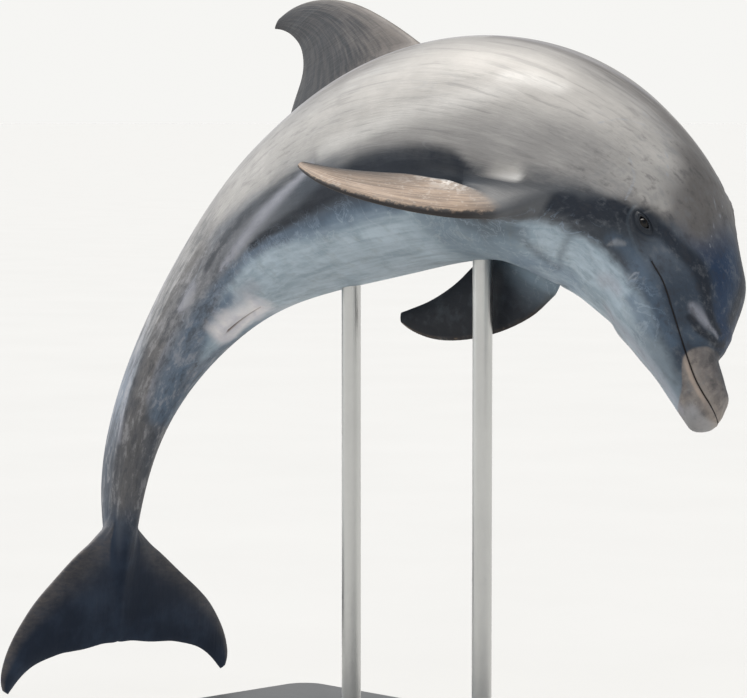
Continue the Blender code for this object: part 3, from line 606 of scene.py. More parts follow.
# The forehead runs straight down to the crease over the beak, and the notch of the flukes is filled.
CREASE_LEVEL = -0.017
FOREHEAD_SLOPE, FOREHEAD_AT, FOREHEAD_LONG = 0.30, 0.119, 0.052
FOREHEAD_BACK, NOTCH_BACK = 0.004, 0.010
shaped = straight + normal * relief[:, None]
shaped[:, 0] += set_back
shaped[:, 2] += lift
slope = FOREHEAD_SLOPE * ridge(u - FOREHEAD_AT, FOREHEAD_LONG) * flesh_of_body
forehead = smooth(0.085, 0.098, u) * (1 - smooth(0.120, 0.190, u)) * flesh_of_body
shaped[:, 0] += FOREHEAD_BACK * ridge(shaped[:, 2] - 0.023, 0.017) * forehead
shaped[:, 2] -= slope * np.maximum(shaped[:, 2] - CREASE_LEVEL, 0)
shaped[:, 0] += NOTCH_BACK * ridge(y, 0.045) * smooth(2.44, 2.52, u)
flipper_at = np.where(y > 0, FLIPPERS["flipper_left"][0][0], FLIPPERS["flipper_right"][0][0])
placed = on_stand(shaped, held, flipper_at)
data.vertices.foreach_set("co", placed.ravel())
data.shade_smooth()
data.update()

# ---- the paint of the skin ----
# Oil glazes over a grey ground, with light and shade painted in: a warm upper side painted pale where the
# light falls, slate flanks painted dark as in shade, a pale blue-grey belly and a brown beak, with painted
# sheen, glints and shade.
# The fields below say where each glaze begins; the paint itself is mixed with noise and fine lines.
# A satin varnish gives it the wet look of the living skin.

# Where the belly's edge runs, in degrees up from the middle of the belly, and how far back the
# beak's cap reaches at each level.
BELLY_EDGE = [(0.00, 55), (0.10, 60), (0.20, 64), (0.25, 62), (0.30, 58), (0.35, 52), (0.40, 49),
              (0.46, 50), (0.55, 46), (0.70, 44), (0.90, 46), (1.05, 46), (1.20, 42), (1.35, 39),
              (1.45, 38), (1.55, 34), (1.62, 28), (1.70, 19), (1.78, 8), (1.86, -12), (2.52, -30)]
BEAK_EDGE = [(-0.145, 0.036), (-0.118, 0.058), (-0.092, 0.096), (-0.067, 0.106), (-0.052, 0.101),
             (-0.030, 0.092), (0.000, 0.080)]

# Glazes laid over the ground colours. Each stroke has its strength, its softness and its places:
# u, degrees over the mouth and side line, and half width in millimetres.
STROKES = {
    # A painted sheen of the overhead light: a broad pale band over the upper flank, which also stands for
    # its pale blaze, and painted highlights at the flipper's root, the brow and the jaw's knob.
    "cream": [
        (0.72, 0.75, [(0.44, 36, 40), (0.55, 40, 55), (0.68, 34, 75), (0.8, 26, 90), (0.92, 16, 85),
                      (1.05, 9, 70), (1.2, 6, 56), (1.36, 6, 45), (1.5, 4, 30)]),
        (0.75, 0.90, [(0.585, -14, 16), (0.615, -19, 22), (0.65, -27, 12)]),
        (0.60, 1.00, [(0.35, 18, 14), (0.385, 16, 26), (0.43, 24, 40), (0.47, 36, 36)]),
        (0.62, 1.00, [(0.36, 14, 9), (0.373, 11, 12), (0.386, 8, 8)]),
        (0.50, 0.80, [(0.325, -19, 4), (0.336, -24, 6), (0.342, -29, 3)]),
    ],
    # Painted glints of the overhead light: at the flipper's root, on the shoulder, and a streak down the
    # flank.
    "painted_glint": [
        (0.80, 0.90, [(0.572, -18, 10), (0.6, -23, 18), (0.64, -27, 12)]),
        (0.55, 1.00, [(0.62, 40, 14), (0.66, 38, 18), (0.7, 34, 14)]),
        (0.32, 1.00, [(0.68, 28, 18), (0.76, 14, 20), (0.86, 4, 20), (0.98, -3, 18), (1.1, -8, 16)]),
    ],
    "brown": [
        (0.75, 0.50, [(0.38, 68, 30), (0.5, 72, 30), (0.65, 74, 25), (0.8, 66, 15)]),
        (0.80, 0.60, [(0.29, 44, 24), (0.34, 48, 40), (0.4, 60, 45)]),
        # Painted shade beside the front of the back fin's root.
        (0.75, 1.00, [(0.95, 56, 18), (1.03, 47, 36), (1.12, 42, 40), (1.22, 44, 20)]),
        (0.30, 0.70, [(1.6, -16, 20), (1.75, -16, 24), (1.88, -24, 26)]),
        (0.65, 0.70, [(1.86, -30, 26), (2.05, -50, 40), (2.2, -60, 40)]),
    ],
    "blue": [
        (0.55, 1.00, [(0.165, -33, 10), (0.2, -35, 17), (0.24, -35, 12)]),
        (0.50, 1.00, [(0.38, -84, 26), (0.46, -80, 36), (0.57, -84, 20)]),
        (0.15, 1.00, [(0.14, 75, 30), (0.2, 70, 30), (0.27, 74, 20)]),
        (0.20, 1.00, [(0.115, 22, 12), (0.13, 12, 10)]),
        (0.70, 1.00, [(1.62, -66, 16), (1.75, -74, 20), (1.9, -80, 20), (2.0, -84, 14)]),
        (0.45, 1.00, [(0.13, -15, 10), (0.19, -16, 12), (0.25, -12, 14), (0.3, -14, 12), (0.345, -26, 12)]),
        (0.65, 0.90, [(0.9, -44, 14), (1.05, -45, 22), (1.2, -47, 24), (1.35, -47, 14), (1.48, -50, 12),
                      (1.6, -54, 14), (1.75, -60, 22), (1.9, -70, 24), (2.0, -78, 18)]),
    ],
    # Painted shade: a band from the eye down over the melon's side, patches behind the eye and over the
    # flipper, the flank below the sheen, the crease over the beak, the tops of beak and melon, the throat's
    # folds and a streak on the tail.
    "painted_shade": [
        (0.90, 0.50, [(0.352, -2, 12), (0.322, 6, 14), (0.3, 16, 14), (0.26, 26, 16), (0.21, 35, 17),
                      (0.16, 40, 14), (0.13, 48, 10), (0.11, 60, 6)]),
        (0.40, 1.00, [(0.52, -50, 18), (0.62, -52, 22), (0.72, -50, 18)]),
        (0.90, 0.45, [(0.365, -8, 14), (0.39, -15, 30), (0.425, -24, 28)]),
        (1.00, 0.40, [(0.455, -24, 26), (0.485, -26, 22)]),
        (0.90, 0.55, [(0.67, -22, 8), (0.74, -17, 20), (0.85, -20, 30), (0.98, -24, 35), (1.1, -30, 22),
                      (1.22, -37, 14), (1.34, -41, 10), (1.44, -44, 6)]),
        (0.75, 0.50, [(0.5, -32, 18), (0.55, -38, 18), (0.62, -42, 12)]),
        (1.00, 0.60, [(0.099, 80, 7), (0.101, 60, 8), (0.111, 42, 8), (0.13, 28, 8), (0.152, 17, 6)]),
        (0.85, 0.90, [(0.13, 78, 20), (0.2, 84, 34), (0.28, 90, 22)]),
        (0.40, 1.00, [(0.592, -49, 10), (0.516, -55, 11), (0.472, -66, 11), (0.418, -76, 10)]),
        (0.30, 1.00, [(0.412, -42, 8), (0.412, -58, 9), (0.412, -74, 8)]),
        (0.60, 0.50, [(1.17, -14, 6), (1.36, -20, 12), (1.55, -26, 12), (1.62, -32, 6)]),
        (0.25, 1.00, [(0.115, -12, 8), (0.095, -25, 8), (0.075, -40, 8)]),
        (0.85, 1.00, [(0.01, 78, 16), (0.05, 74, 22), (0.09, 72, 20)]),
    ],
    # Pale lavender streaks, some of them painted light as marked.
    "lavender_and_reflection": [
        (0.60, 1.00, [(0.03, -74, 10), (0.1, -76, 15), (0.2, -78, 18), (0.28, -80, 14)]),
        (0.75, 1.00, [(1.14, -14, 7), (1.25, -22, 11), (1.36, -30, 12), (1.47, -38, 10), (1.58, -44, 6)]),
        # A painted highlight along the keel of the tail stock.
        (0.45, 1.00, [(1.76, 38, 7), (1.86, 25, 8), (1.95, 9, 8), (2.03, -6, 7), (2.09, -17, 4)]),
        (0.40, 1.00, [(1.81, -45, 4), (1.9, -50, 6), (1.98, -57, 4)]),
        (0.60, 1.00, [(0.275, -42, 12), (0.295, -44, 14), (0.31, -52, 14)]),
        (0.50, 1.00, [(1.52, -70, 16), (1.6, -72, 16), (1.66, -70, 10)]),
        (0.35, 1.00, [(1.62, -54, 3), (1.66, -60, 5), (1.7, -69, 3)]),
        (0.65, 1.00, [(1.68, -31, 10), (1.72, -34, 14), (1.75, -34, 8)]),
        (0.60, 0.90, [(0.106, 56, 2), (0.118, 48, 6), (0.135, 37, 11), (0.152, 28, 12), (0.166, 22, 6)]),
        # A painted reflection of the blue-grey ceiling along the top of the back.
        (0.28, 1.00, [(0.55, 80, 10), (0.75, 72, 15), (0.95, 62, 20), (1.15, 42, 12), (1.3, 42, 20),
                      (1.45, 44, 20), (1.6, 46, 20), (1.75, 44, 20)]),
    ],
}
# Where the pale upper side gives way to the painted shade of the flanks, the line round the eye, and old
# scratches.
SHADE_EDGE = [(0.10, 60), (0.20, 44), (0.27, 34), (0.33, 19), (0.37, 3), (0.43, -4), (0.50, -9),
             (1.30, -11), (1.60, -13), (2.20, -14)]
ORBIT_LINE = [(0.374, -1), (0.361, -9), (0.336, -12), (0.302, -10), (0.276, -4)]
SCRATCHES = [
    *TAIL_SCARS,
    [(0.262, -21), (0.265, -14), (0.270, -17), (0.271, -23), (0.268, -29)],
    [(1.62, -50), (1.65, -56), (1.63, -62), (1.67, -66)],
    [(1.74, -40), (1.77, -46), (1.75, -52), (1.79, -56)],
    [(0.450, 24), (0.415, 14), (0.392, -2)],
    [(0.53, 30), (0.51, 44), (0.47, 52)],
    [(0.52, 58), (0.44, 46), (0.39, 30)],
    [(0.24, 46), (0.29, 56), (0.35, 60)],
    [(0.30, 62), (0.36, 72), (0.44, 80)],
]


def glaze(strokes):
    """How strongly each point of the skin is covered by a list of strokes."""
    share = np.zeros(len(both))
    for strength, softness, places in strokes:
        line = skin_line([place[:2] for place in places])
        spread = np.linspace(0, len(places) - 1, len(line))
        widths = np.interp(spread, range(len(places)), [place[2] / 1000 for place in places])
        nearest = near_line(both, line, widths)
        share = np.maximum(share, strength * (1 - smooth(1 - softness, 1 + softness, nearest)))
    return share * flesh_of_body


SHEEN_FADE = 0.38         # how much the painted sheen weakens behind the shoulder
radius = np.hypot(y, z - level)
climb = np.degrees(np.arctan2(z - level, off_side))
outward = {name: tuple(out_of_body(name).normalized()) for name in FLIPPERS}
outward = np.where(y[:, None] > 0, outward["flipper_left"], outward["flipper_right"])
is_flipper = (u > 0.4) & (u < 1.5) & (pulled > 0) & (z < 0.05)
fields = {
    "belly": (spline(BELLY_EDGE, u) - climb - 90) * pi / 180 * radius,
    "climb": climb,
    "side": climb - spline(SHADE_EDGE, u),
    "beak": spline(BEAK_EDGE, z) - u,
    "lip": rise + FAR * (1 - mouth_open),
    "orbit": near_line(both, skin_line(ORBIT_LINE)),
    "scratch": np.min([near_line(both, skin_line(line)) for line in SCRATCHES], axis=0),
    **{name: glaze(strokes) for name, strokes in STROKES.items()},
    "from_eye": from_eye,
    "lid": lid,
    "slit": slit,
    "back_fin": (z > 0.1) * (pulled > 0) * smooth(0.0, 0.035, z - spline(BODY, u)[:, 0]),
    "fluke": smooth(2.19, 2.34, u + 0.02 * np.sin(9 * climb / 57)),
    "flipper": smooth(0.00, 0.26, reach) * is_flipper,
    "outer": np.einsum("ij,ij->i", normal, outward) * is_flipper,
    "leading": -along * np.sqrt(1 - across**2 / 2) * smooth(0.0, 1.0, pulled),
    "span": reach,
}
fields["cream"] *= 1 - SHEEN_FADE * smooth(0.90, 1.25, u)
for name, values in fields.items():
    data.attributes.new(name, "FLOAT", "POINT").data.foreach_set("value", values.astype(np.float32))
data.attributes.new("straight", "FLOAT_VECTOR", "POINT").data.foreach_set("vector", straight.ravel())


class Value:
    """A number or colour that varies over a surface; sums on it add their nodes to the palette."""

    def __init__(self, palette, socket):
        self.palette, self.socket = palette, socket

    def math(self, operation, *terms):
        return self.palette.node("ShaderNodeMath", {"operation": operation}, dict(enumerate(terms)))

    def __add__(self, other):
        return self.math("ADD", self, other)

    def __sub__(self, other):
        return self.math("SUBTRACT", self, other)

    def __rsub__(self, other):
        return self.math("SUBTRACT", other, self)

    def __mul__(self, other):
        return self.math("MULTIPLY", self, other)

    def __abs__(self):
        return self.math("ABSOLUTE", self)

    __radd__, __rmul__ = __add__, __mul__

    def sway(self, amount):
        """Noise, whose middle is a half, as a swing about nothing."""
        return (self - 0.5) * amount

    def step(self, start, end):
        """0 up to start, 1 from end on, and a soft step between them; end may be the lower one."""
        low, high = min(start, end), max(start, end)
        span = {0: self, 1: low, 2: high, 3: float(end <= start), 4: float(end > start)}
        return self.palette.node("ShaderNodeMapRange", {"interpolation_type": "SMOOTHSTEP"}, span)

    def even(self, start, end, least, most):
        """The least at start, the most at end, and an even slope between them."""
        return self.palette.node("ShaderNodeMapRange", {}, {0: self, 1: start, 2: end, 3: least, 4: most})


class Palette:
    """The nodes that a finish, or the light of the room, is mixed from."""

    def __init__(self, tree):
        self.tree = tree

    def node(self, kind, settings, sockets, out=0):
        """One node: its settings first, then its sockets' values or links."""
        item = self.tree.nodes.new(kind)
        for name, value in settings.items():
            setattr(item, name, value)
        for key, value in sockets.items():
            self.feed(item.inputs[key], value)
        return Value(self, item.outputs[out])

    def feed(self, socket, value):
        """Link a value to a socket, or set the socket to a plain number, place or colour."""
        if isinstance(value, Value):
            self.tree.links.new(value.socket, socket)
        elif socket.type == "RGBA":
            socket.default_value = (*value, 1)
        else:
            socket.default_value = value

    def field(self, name, out="Fac"):
        """What the mesh says of each point under a name: a number, or with out="Vector" a place."""
        return self.node("ShaderNodeAttribute", {"attribute_name": name}, {}, out)

    def spot(self):
        """The place on the piece itself."""
        return self.node("ShaderNodeTexCoord", {}, {}, "Object")

    def stretched(self, place, scale):
        return self.node("ShaderNodeVectorMath", {"operation": "MULTIPLY"}, {0: place, 1: scale})

    def noise(self, place, scale, detail=3.0, rough=0.5, twist=0.0, stretch=None):
        place = self.stretched(place, stretch) if stretch else place
        return self.node("ShaderNodeTexNoise", {}, {"Vector": place, "Scale": scale, "Detail": detail,
                                                    "Roughness": rough, "Distortion": twist})

    def mix(self, share, colour, other, blend="MIX"):
        return self.node("ShaderNodeMix", {"data_type": "RGBA", "blend_type": blend},
                         {0: share, 6: colour, 7: other}, 2)

    def coats(self, colour, *coats):
        """A colour under coats of paint, each with its share and its own colour."""
        for share, coat in coats:
            colour = self.mix(share, colour, coat)
        return colour


class Finish(Palette):
    """A procedural finish for one kind of surface."""

    def __init__(self, name, **plain):
        self.material = bpy.data.materials.new(name)
        self.material.use_nodes = True
        super().__init__(self.material.node_tree)
        self.surface = self.tree.nodes["Principled BSDF"]
        for name, value in plain.items():
            label = name.replace("_", " ").title().replace("Ior", "IOR")
            self.surface.inputs[label].default_value = value

    def wear(self, colour, roughness, bump=None, depth=0.0):
        """Finish the surface: its colour, its roughness and the height of its fine relief."""
        self.feed(self.surface.inputs["Base Color"], colour)
        self.feed(self.surface.inputs["Roughness"], roughness)
        if bump is not None:
            bumped = self.node("ShaderNodeBump", {}, {"Strength": 1.0, "Distance": depth, "Height": bump})
            self.feed(self.surface.inputs["Normal"], bumped)
        return self.material


paint = Finish("dolphin_skin", coat_roughness=0.16, specular_ior_level=0.30)
on = {name: paint.field(name) for name in fields}
where = paint.field("straight", "Vector")
u_place = paint.node("ShaderNodeSeparateXYZ", {}, {0: where})
grain = paint.noise(where, 9, 5, 0.6)
cloud = paint.noise(where, 3.2, 4, 0.55)
blotch = paint.noise(where, 26, 4, 0.6)
speck = paint.noise(where, 95, 3, 0.6)
streaks = paint.noise(where, 6, 7, 0.66, 0.4, (1.0, 6.0, 6.0))
fine_streaks = paint.noise(where, 6, 4, 0.6, 0.0, (3.0, 30.0, 30.0))
combed = paint.noise(where, 3.2, 5, 0.6, 0.3, (1.6, 26.0, 26.0))
marble = paint.noise(where, 7, 5, 0.6, 1.4, (1.0, 1.6, 1.6))
cells = paint.noise(where, 34, 7, 0.66, 0.0, (1.0, 1.5, 1.5))
rough_skin = paint.noise(where, 17, 8, 0.72, 0.1, (1.0, 3.2, 3.2))
veins = abs(paint.noise(where, 13, 6, 0.62, 1.1) - 0.5).step(0.022, 0.003)
scars = abs(paint.noise(where, 2.2, 3, 0.5, 1.0, (1.0, 6.0, 6.0)) - 0.5).step(0.010, 0.003)
scars = scars * cloud.step(0.52, 0.62)


def along_tones(*tones):
    """A colour that changes along the body: each tone is the u where it is reached, and its colour."""
    way = u_place + cloud.sway(0.12)
    return paint.coats(tones[0][1], *((way.step(start, end), tone)
                                      for (start, _), (end, tone) in zip(tones, tones[1:])))


# Ground colours, with painted light and shade: a grey upper side painted pale where the overhead light
# falls, over sides painted dark slate as in shade and darkest behind the flippers; both change from the
# blue face, its front painted dark as in shade, to the brown tail.
upper_shading = along_tones((0.22, (0.014, 0.033, 0.074)), (0.34, (0.158, 0.148, 0.142)),
                   (0.46, (0.300, 0.288, 0.277)), (1.10, (0.235, 0.228, 0.222)),
                   (1.45, (0.262, 0.253, 0.246)), (1.80, (0.212, 0.208, 0.208)),
                   (1.98, (0.172, 0.198, 0.240)), (2.15, (0.060, 0.073, 0.096)))
side_shading = along_tones((0.20, (0.040, 0.056, 0.080)), (0.27, (0.082, 0.102, 0.130)),
                    (0.36, (0.036, 0.044, 0.056)), (0.55, (0.105, 0.108, 0.114)),
                    (0.75, (0.028, 0.036, 0.050)), (1.15, (0.062, 0.074, 0.092)),
                    (1.45, (0.155, 0.163, 0.180)), (1.80, (0.215, 0.215, 0.225)),
                    (2.10, (0.080, 0.094, 0.118)))
wander = cloud.sway(20) + streaks.sway(22)
upper_shading_share = (on["side"] + wander).step(-9, 8)

# The belly and throat, pale blue-grey, marbled, with a painted shadow of the flippers under the chest, and
# darker towards the chin.
belly = (on["belly"] + grain.sway(0.050) + cloud.sway(0.030)).step(-0.014, 0.014)
flipper_shadow = u_place.step(0.95, 0.80) * u_place.step(0.45, 0.55)
throat = (u_place + cloud.sway(0.15)).step(0.27, 0.12) * on["climb"].step(-78, -52)
pale = paint.coats(
    (0.288, 0.358, 0.412),
    ((marble * 0.5 + combed * 0.5).step(0.36, 0.62), (0.440, 0.522, 0.585)),
    (flipper_shadow * 0.8, (0.145, 0.200, 0.250)),
    (blotch.step(0.50, 0.75) * 0.4, (0.250, 0.280, 0.290)),
    (throat * 0.75, (0.120, 0.148, 0.176)))

# The beak's brown cap, paler at the chin and along the lips.
beak = (on["beak"] + grain.sway(0.012)).step(-0.003, 0.003)
chin = (u_place + grain.sway(0.02)).step(0.035, 0.010) * on["climb"].step(-20, -45)
snout = paint.coats(
    (0.118, 0.108, 0.105),
    ((blotch * 0.6 + speck * 0.4).step(0.34, 0.66), (0.250, 0.218, 0.198)),
    (speck.step(0.55, 0.70) * 0.5, (0.260, 0.235, 0.215)),
    (chin * 0.8, (0.330, 0.325, 0.330)),
    (abs(on["lip"]).step(0.024, 0.0) * 0.6, (0.350, 0.300, 0.262)))

# The glazes over all of these, from the palest to the darkest; among them a painted sheen, painted glints,
# a painted reflection of the ceiling and painted shade.
GLAZES = {"brown": (0.125, 0.115, 0.108), "cream": (0.500, 0.475, 0.445), "lavender_and_reflection": (0.360, 0.365, 0.410),
          "painted_glint": (0.780, 0.755, 0.720), "blue": (0.098, 0.150, 0.218), "painted_shade": (0.012, 0.017, 0.027)}
laid_on = streaks * 0.8 + blotch * 0.4 + 0.45
colour = paint.coats(side_shading, (upper_shading_share, upper_shading), (belly, pale), (beak, snout),
                     *((on[name] * laid_on, tone) for name, tone in GLAZES.items()))

# Mottling of the face, fine streaks along the body, the veins of the belly and its edge, the rough
# skin of the tail, and old rake marks and scratches.
on_face = u_place.step(0.60, 0.40) * (1 - belly * 0.6)
upper_side = (on["climb"] + wander).step(-20, 0) * u_place.step(0.36, 0.55)
upper_side = upper_side * (1 - on["flipper"] - on["fluke"])
behind_beak = u_place.step(0.12, 0.20)
belly_edge = abs(on["belly"] + 0.010).step(0.040, 0.004)
mottled = (u_place + cloud.sway(0.3)).step(1.30, 1.75) * u_place.step(2.32, 2.22) * (1 - belly)
scratch = (on["scratch"] + speck.sway(0.003)).step(0.0030, 0.0008)
crease = (on["orbit"] + blotch.sway(0.004)).step(0.0050, 0.0005)
colour = paint.coats(
    colour,
    (cells.step(0.50, 0.70) * 0.40 * on_face, (0.170, 0.180, 0.195)),
    (cells.step(0.50, 0.30) * 0.50 * on_face, (0.036, 0.036, 0.042)),
    (combed.step(0.52, 0.66) * 0.16 * upper_side, (0.550, 0.530, 0.500)),
    (combed.step(0.48, 0.34) * 0.26 * upper_side, (0.070, 0.070, 0.075)),
    (belly_edge * veins * behind_beak * 0.28, (0.260, 0.340, 0.440)),
    (veins * belly * behind_beak * 0.25, (0.480, 0.540, 0.590)),
    (rough_skin.step(0.51, 0.62) * 0.40 * mottled, (0.420, 0.410, 0.420)),
    (rough_skin.step(0.49, 0.39) * 0.60 * mottled, (0.055, 0.060, 0.070)),
    (scars * upper_side * 0.20, (0.340, 0.340, 0.350)),
    (scratch * 0.45, (0.340, 0.360, 0.400)),
    (crease * 0.35, (0.120, 0.150, 0.180)))

# The lips, the skin round the eye, and the rosy skin about the slit.
bloom = abs(on["lip"] + 0.0055).step(0.0070, 0.0010) * u_place.step(0.108, 0.085)
bloom = bloom * u_place.step(-0.015, 0.030) * (blotch * 0.9 + 0.35)
orbit = (on["from_eye"] + blotch.sway(0.014)).step(0.040, 0.015)
rosy = (on["slit"] + grain.sway(0.09) + blotch.sway(0.03)).step(0.052, 0.012)
rosy_tone = paint.mix(blotch.step(0.3, 0.7), (0.660, 0.640, 0.680), (0.900, 0.860, 0.850))
colour = paint.coats(
    colour,
    (bloom, (0.420, 0.335, 0.275)),
    # Painted shade in the groove of the mouth line.
    (abs(on["lip"]).step(0.0020, 0.0006), (0.020, 0.016, 0.015)),
    (orbit * 0.95, (0.016, 0.021, 0.030)),
    # A pale rim round the lids, partly their own colour and partly a painted highlight along the upper
    # lid's edge.
    (abs(on["lid"] - 1.10).step(0.14, 0.04) * 0.18, (0.150, 0.140, 0.135)),
    # Painted shade inside the opening of the lids, round the eyeball.
    (on["lid"].step(1.02, 0.94), (0.006, 0.006, 0.008)),
    (rosy * 0.92, rosy_tone),
    (on["slit"].step(0.0045, 0.0010), (0.200, 0.145, 0.120)))

# The fins: dark, with ribs along the blade and a worn, paler front edge; on the flukes the near-black is
# partly painted shade and the pale front edge partly a painted highlight. The flippers are painted lit
# brown on the face that looks out from the body and dark as in shade on the face towards it.
blade = paint.node("ShaderNodeCombineXYZ", {}, {0: on["span"] * 0.35, 1: on["leading"]})
ribs = paint.noise(blade, 13, 5, 0.62, 0.3)
fore = on["leading"] + ribs.sway(2.0) - on["span"] * 0.9
fin_paint = paint.coats(
    (0.018, 0.018, 0.021),
    (ribs.step(0.38, 0.64), (0.042, 0.039, 0.039)),
    (fore.step(-0.40, 1.0), (0.145, 0.126, 0.114)))
ripple = paint.noise(where, 48, 4, 0.7, 0.4, (2.4, 1.0, 1.0))
# The flukes' front edge: paler, partly wear and partly a painted highlight of the overhead light.
worn_and_lit_edge = (on["leading"] + grain.sway(0.8)).step(0.15, 1.0) * (ripple * 1.6 - 0.15)
# The flukes near-black navy, partly their dark skin and partly painted shade.
fluke_paint = paint.coats(
    (0.011, 0.020, 0.040),
    (grain.step(0.4, 0.7), (0.024, 0.038, 0.066)),
    (worn_and_lit_edge * 0.80, (0.150, 0.128, 0.112)))
# Painted sheen and white painted glints over the root of the flipper, on its upper, trailing side.
root = (on["span"] + grain.sway(0.3)).step(0.50, 0.10) * on["leading"].step(0.45, -0.5)
# The lit copy of the flipper's paint, brown, for its outer face.
lit_face = paint.coats(
    (0.180, 0.126, 0.090),
    (ribs.step(0.35, 0.65), (0.370, 0.268, 0.192)),
    (speck.step(0.55, 0.72) * 0.5, (0.450, 0.385, 0.330)),
    # Painted shade along the lower, leading edge.
    ((on["leading"] + speck.sway(0.3)).step(0.84, 0.95), (0.030, 0.026, 0.025)),
    (root * 0.6, (0.420, 0.375, 0.335)),
    ((blotch * 0.5 + speck * 0.5).step(0.46, 0.56) * root, (0.900, 0.870, 0.830)))
# The shaded copy for its inner face: painted near-black as in shade, a little lighter towards the root and
# the front edge.
shaded = paint.coats(
    (0.006, 0.008, 0.013),
    ((on["span"] + grain.sway(0.3)).step(0.42, 0.06), (0.036, 0.045, 0.060)),
    (on["leading"].step(0.93, 1.0) * 0.5, (0.110, 0.096, 0.088)))
# The face that looks out from the body takes the lit copy, and the face towards it the shaded copy.
flipper_paint = paint.mix(on["outer"].step(-0.2, 0.3), shaded, lit_face)
flipper_share = on["flipper"] + blotch.sway(0.3) * on["flipper"]
colour = paint.coats(colour, (on["back_fin"], fin_paint), (on["fluke"], fluke_paint),
                     (flipper_share, flipper_paint))

# The tone of the glaze, uneven by hand, and the satin varnish over it.
tone = grain.even(0.25, 0.75, 0.84, 1.14)
tone = paint.node("ShaderNodeCombineColor", {}, {0: tone, 1: tone, 2: tone})
colour = paint.mix(1.0, colour, tone, "MULTIPLY")
height = rough_skin * mottled * 0.5 + streaks * 0.4 + combed * 0.3 + fine_streaks * 0.2 + blotch * 0.3
paint.feed(paint.surface.inputs["Coat Weight"], on["cream"] * 0.06 + 0.02)
data.materials.append(paint.wear(colour, streaks.even(0.3, 0.7, 0.50, 0.62), height, depth=0.0022))
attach(flesh, "root")
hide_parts("head", "lower_jaw", "chest", "trunk", "tail_stock", "fluke_hub", "fluke_left",
            "fluke_right", "back_fin", "flipper_left", "flipper_right", "blowhole_plug")

# ---- the eyes ----
# Two glass eyes with a dark brown iris and a wide oval pupil, bedded behind the lids.
# Each is a ball with a slight bulge at the front, coloured by where it looks.
EYEBALL = 0.0150
BEDDED = 0.86            # how much of its radius the ball lies behind the lids
FORWARD = 0.0040
glass = Finish("glass_eye", coat_weight=0.0, specular_ior_level=0.25)
look = glass.field("look", "Vector")
oval = glass.node("ShaderNodeVectorMath", {"operation": "LENGTH"},
                  {0: glass.stretched(look, (1.0, 1.35, 0.0))}, "Value")
front = glass.node("ShaderNodeSeparateXYZ", {}, {0: look}, 2).step(0.0, 0.2)
threads = glass.noise(look, 14, 3, stretch=(1.0, 1.0, 0.2))
iris = glass.mix(threads.step(0.3, 0.7), (0.006, 0.005, 0.004), (0.016, 0.011, 0.008))
eye_colour = glass.coats(
    (0.006, 0.006, 0.007),
    (oval.step(0.62, 0.50) * front, iris),
    (oval.step(0.30, 0.26) * front, (0.002, 0.002, 0.003)))
glass_finish = glass.wear(eye_colour, 0.16 + threads * 0.04)
for name, side in (("eye_left", 1), ("eye_right", -1)):
    flip = np.array((1, side, 1))
    middle = (eye_spot + gaze * (FORWARD - EYEBALL * BEDDED)) * flip
    ball = bmesh.new()
    bmesh.ops.create_uvsphere(ball, u_segments=48, v_segments=32, radius=1)
    local = np.array([vert.co[:] for vert in ball.verts])
    bulge = 1 + 0.05 * np.exp(-((1 - local[:, 2].clip(0)) / 0.12))
    points = (local[:, :1] * ahead + local[:, 1:2] * above + local[:, 2:] * gaze) * bulge[:, None] * EYEBALL
    for vert, point in zip(ball.verts, on_stand(middle + points * flip)):
        vert.co = point
    bmesh.ops.recalc_face_normals(ball, faces=ball.faces)
    eye = made_object("glass_" + name, ball)
    eye.data.attributes.new("look", "FLOAT_VECTOR", "POINT").data.foreach_set("vector", local.ravel())
    eye.data.shade_smooth()
    eye.data.materials.append(glass_finish)
    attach(eye, "root")
    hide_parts(name)


# ---- the stand's board ----
# A board of birch plywood, sprayed in a satin charcoal, with its edge eased and slightly worn.
# It lies flat on the floor and carries the rods.
def dress(name, finish):
    """Give a node of the CAD model its finish."""
    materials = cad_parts[name].data.materials
    materials.clear()
    materials.append(finish)


charcoal = Finish("charcoal_board", coat_weight=0.1, coat_roughness=0.35)
spot = charcoal.spot()
wood = charcoal.noise(spot, 3, 6, 0.6, stretch=(2.0, 26.0, 26.0))
dust = charcoal.noise(spot, 5, 5, 0.6)
peel = charcoal.noise(spot, 420, 2, 0.5)
board_colour = charcoal.coats(
    (0.030, 0.032, 0.035),
    (wood, (0.052, 0.055, 0.059)),
    (dust.step(0.5, 0.8) * 0.25, (0.100, 0.100, 0.100)))
dress("stand_base", charcoal.wear(board_colour, 0.36 + dust * 0.16, wood * 0.6 + peel * 0.25, depth=0.0006))

# ---- the stand's rods and collars ----
# Two round bars of brushed stainless steel that hold the dolphin up from below.
# Each stands upright in a turned collar on the board.
steel = Finish("brushed_steel", metallic=1.0)
spot = steel.spot()
brushed = steel.noise(spot, 1, 3, 0.6, stretch=(40.0, 40.0, 900.0))
smudge = steel.noise(spot, 11, 4, 0.6)
steel_colour = steel.mix(smudge, (0.500, 0.500, 0.490), (0.620, 0.620, 0.600))
steel_finish = steel.wear(steel_colour, 0.22 + brushed * 0.12 + smudge * 0.10, brushed, depth=0.00025)
for name in ("stand_rod_front", "stand_rod_rear", "stand_collar_front", "stand_collar_rear"):
    dress(name, steel_finish)

# ---- the floor ----
# The gallery's pale poured floor, plain and matt.
# It reaches so far that its edge never shows.
FLOOR_REACH = 400.0
slab = bmesh.new()
bmesh.ops.create_grid(slab, x_segments=1, y_segments=1, size=FLOOR_REACH)
floor = made_object("floor", slab)
screed = Finish("pale_floor", specular_ior_level=0.0)
clouding = screed.noise(screed.spot(), 1.5, 4)
screed_colour = screed.mix(clouding, (0.508, 0.508, 0.503), (0.538, 0.538, 0.533))
floor.data.materials.append(screed.wear(screed_colour, 0.6))

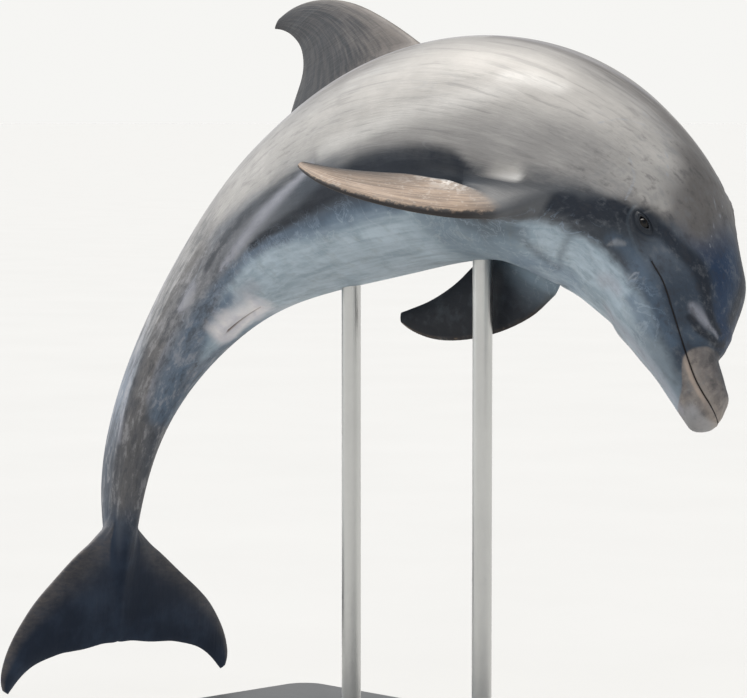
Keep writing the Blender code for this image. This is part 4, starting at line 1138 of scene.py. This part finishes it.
# ---- the lights and the room ----
# A wide soft light overhead and behind, and a weaker and wider one from the front.
# The walls are pale all round and darken to a blue-grey ceiling.
# Each light has its name, the way towards it, its spread in degrees, its strength and its tint.
LIGHTS = [
    ("top_light", (-0.40, 0.02, 0.91), 38, 4.4, (1.0, 0.95, 0.88)),
    ("side_light", (-0.88, -0.25, 0.40), 60, 0.9, (0.86, 0.93, 1.0)),
]
WALLS, CEILING = (0.921, 0.917, 0.896), (0.26, 0.31, 0.38)
for name, toward, spread, strength, tint in LIGHTS:
    lamp = bpy.data.lights.new(name, "SUN")
    lamp.angle, lamp.energy, lamp.color = radians(spread), strength, tint
    light = bpy.data.objects.new(name, lamp)
    light.rotation_euler = (-Vector(toward)).to_track_quat("-Z", "Y").to_euler()
    bpy.context.scene.collection.objects.link(light)
room = bpy.data.worlds.new("room")
room.use_nodes = True
air = Palette(room.node_tree)
toward_sky = air.node("ShaderNodeTexCoord", {}, {}, "Generated")
upward = air.node("ShaderNodeSeparateXYZ", {}, {0: toward_sky}, "Z").even(0.05, 0.7, 0.0, 1.0)
air.feed(air.tree.nodes["Background"].inputs["Color"], air.mix(upward, WALLS, CEILING))
bpy.context.scene.world = room
bpy.context.scene.view_settings.view_transform = "Standard"

# ---- the camera ----
# A long lens at head height, looking across the dolphin's right side from a little ahead of it.
CAMERA_PLACE = Vector((4.7736, -4.6302, 1.2957))
CAMERA_RIGHT = Vector((0.69490, 0.71911, 0.00026))
CAMERA_FORWARD = Vector((-0.71732, 0.69320, -0.07012))
CAMERA_LENS, CAMERA_SENSOR = 160.29, 36.0
view = bpy.data.cameras.new("camera")
view.lens, view.sensor_width, view.sensor_fit = CAMERA_LENS, CAMERA_SENSOR, "HORIZONTAL"
view.clip_end = 1000
camera = bpy.data.objects.new("camera", view)
back = -CAMERA_FORWARD.normalized()
right = (CAMERA_RIGHT - back * CAMERA_RIGHT.dot(back)).normalized()
turn = Matrix((right, back.cross(right), back)).transposed().to_4x4()
camera.matrix_world = Matrix.Translation(CAMERA_PLACE) @ turn
bpy.context.scene.collection.objects.link(camera)
bpy.context.scene.camera = camera
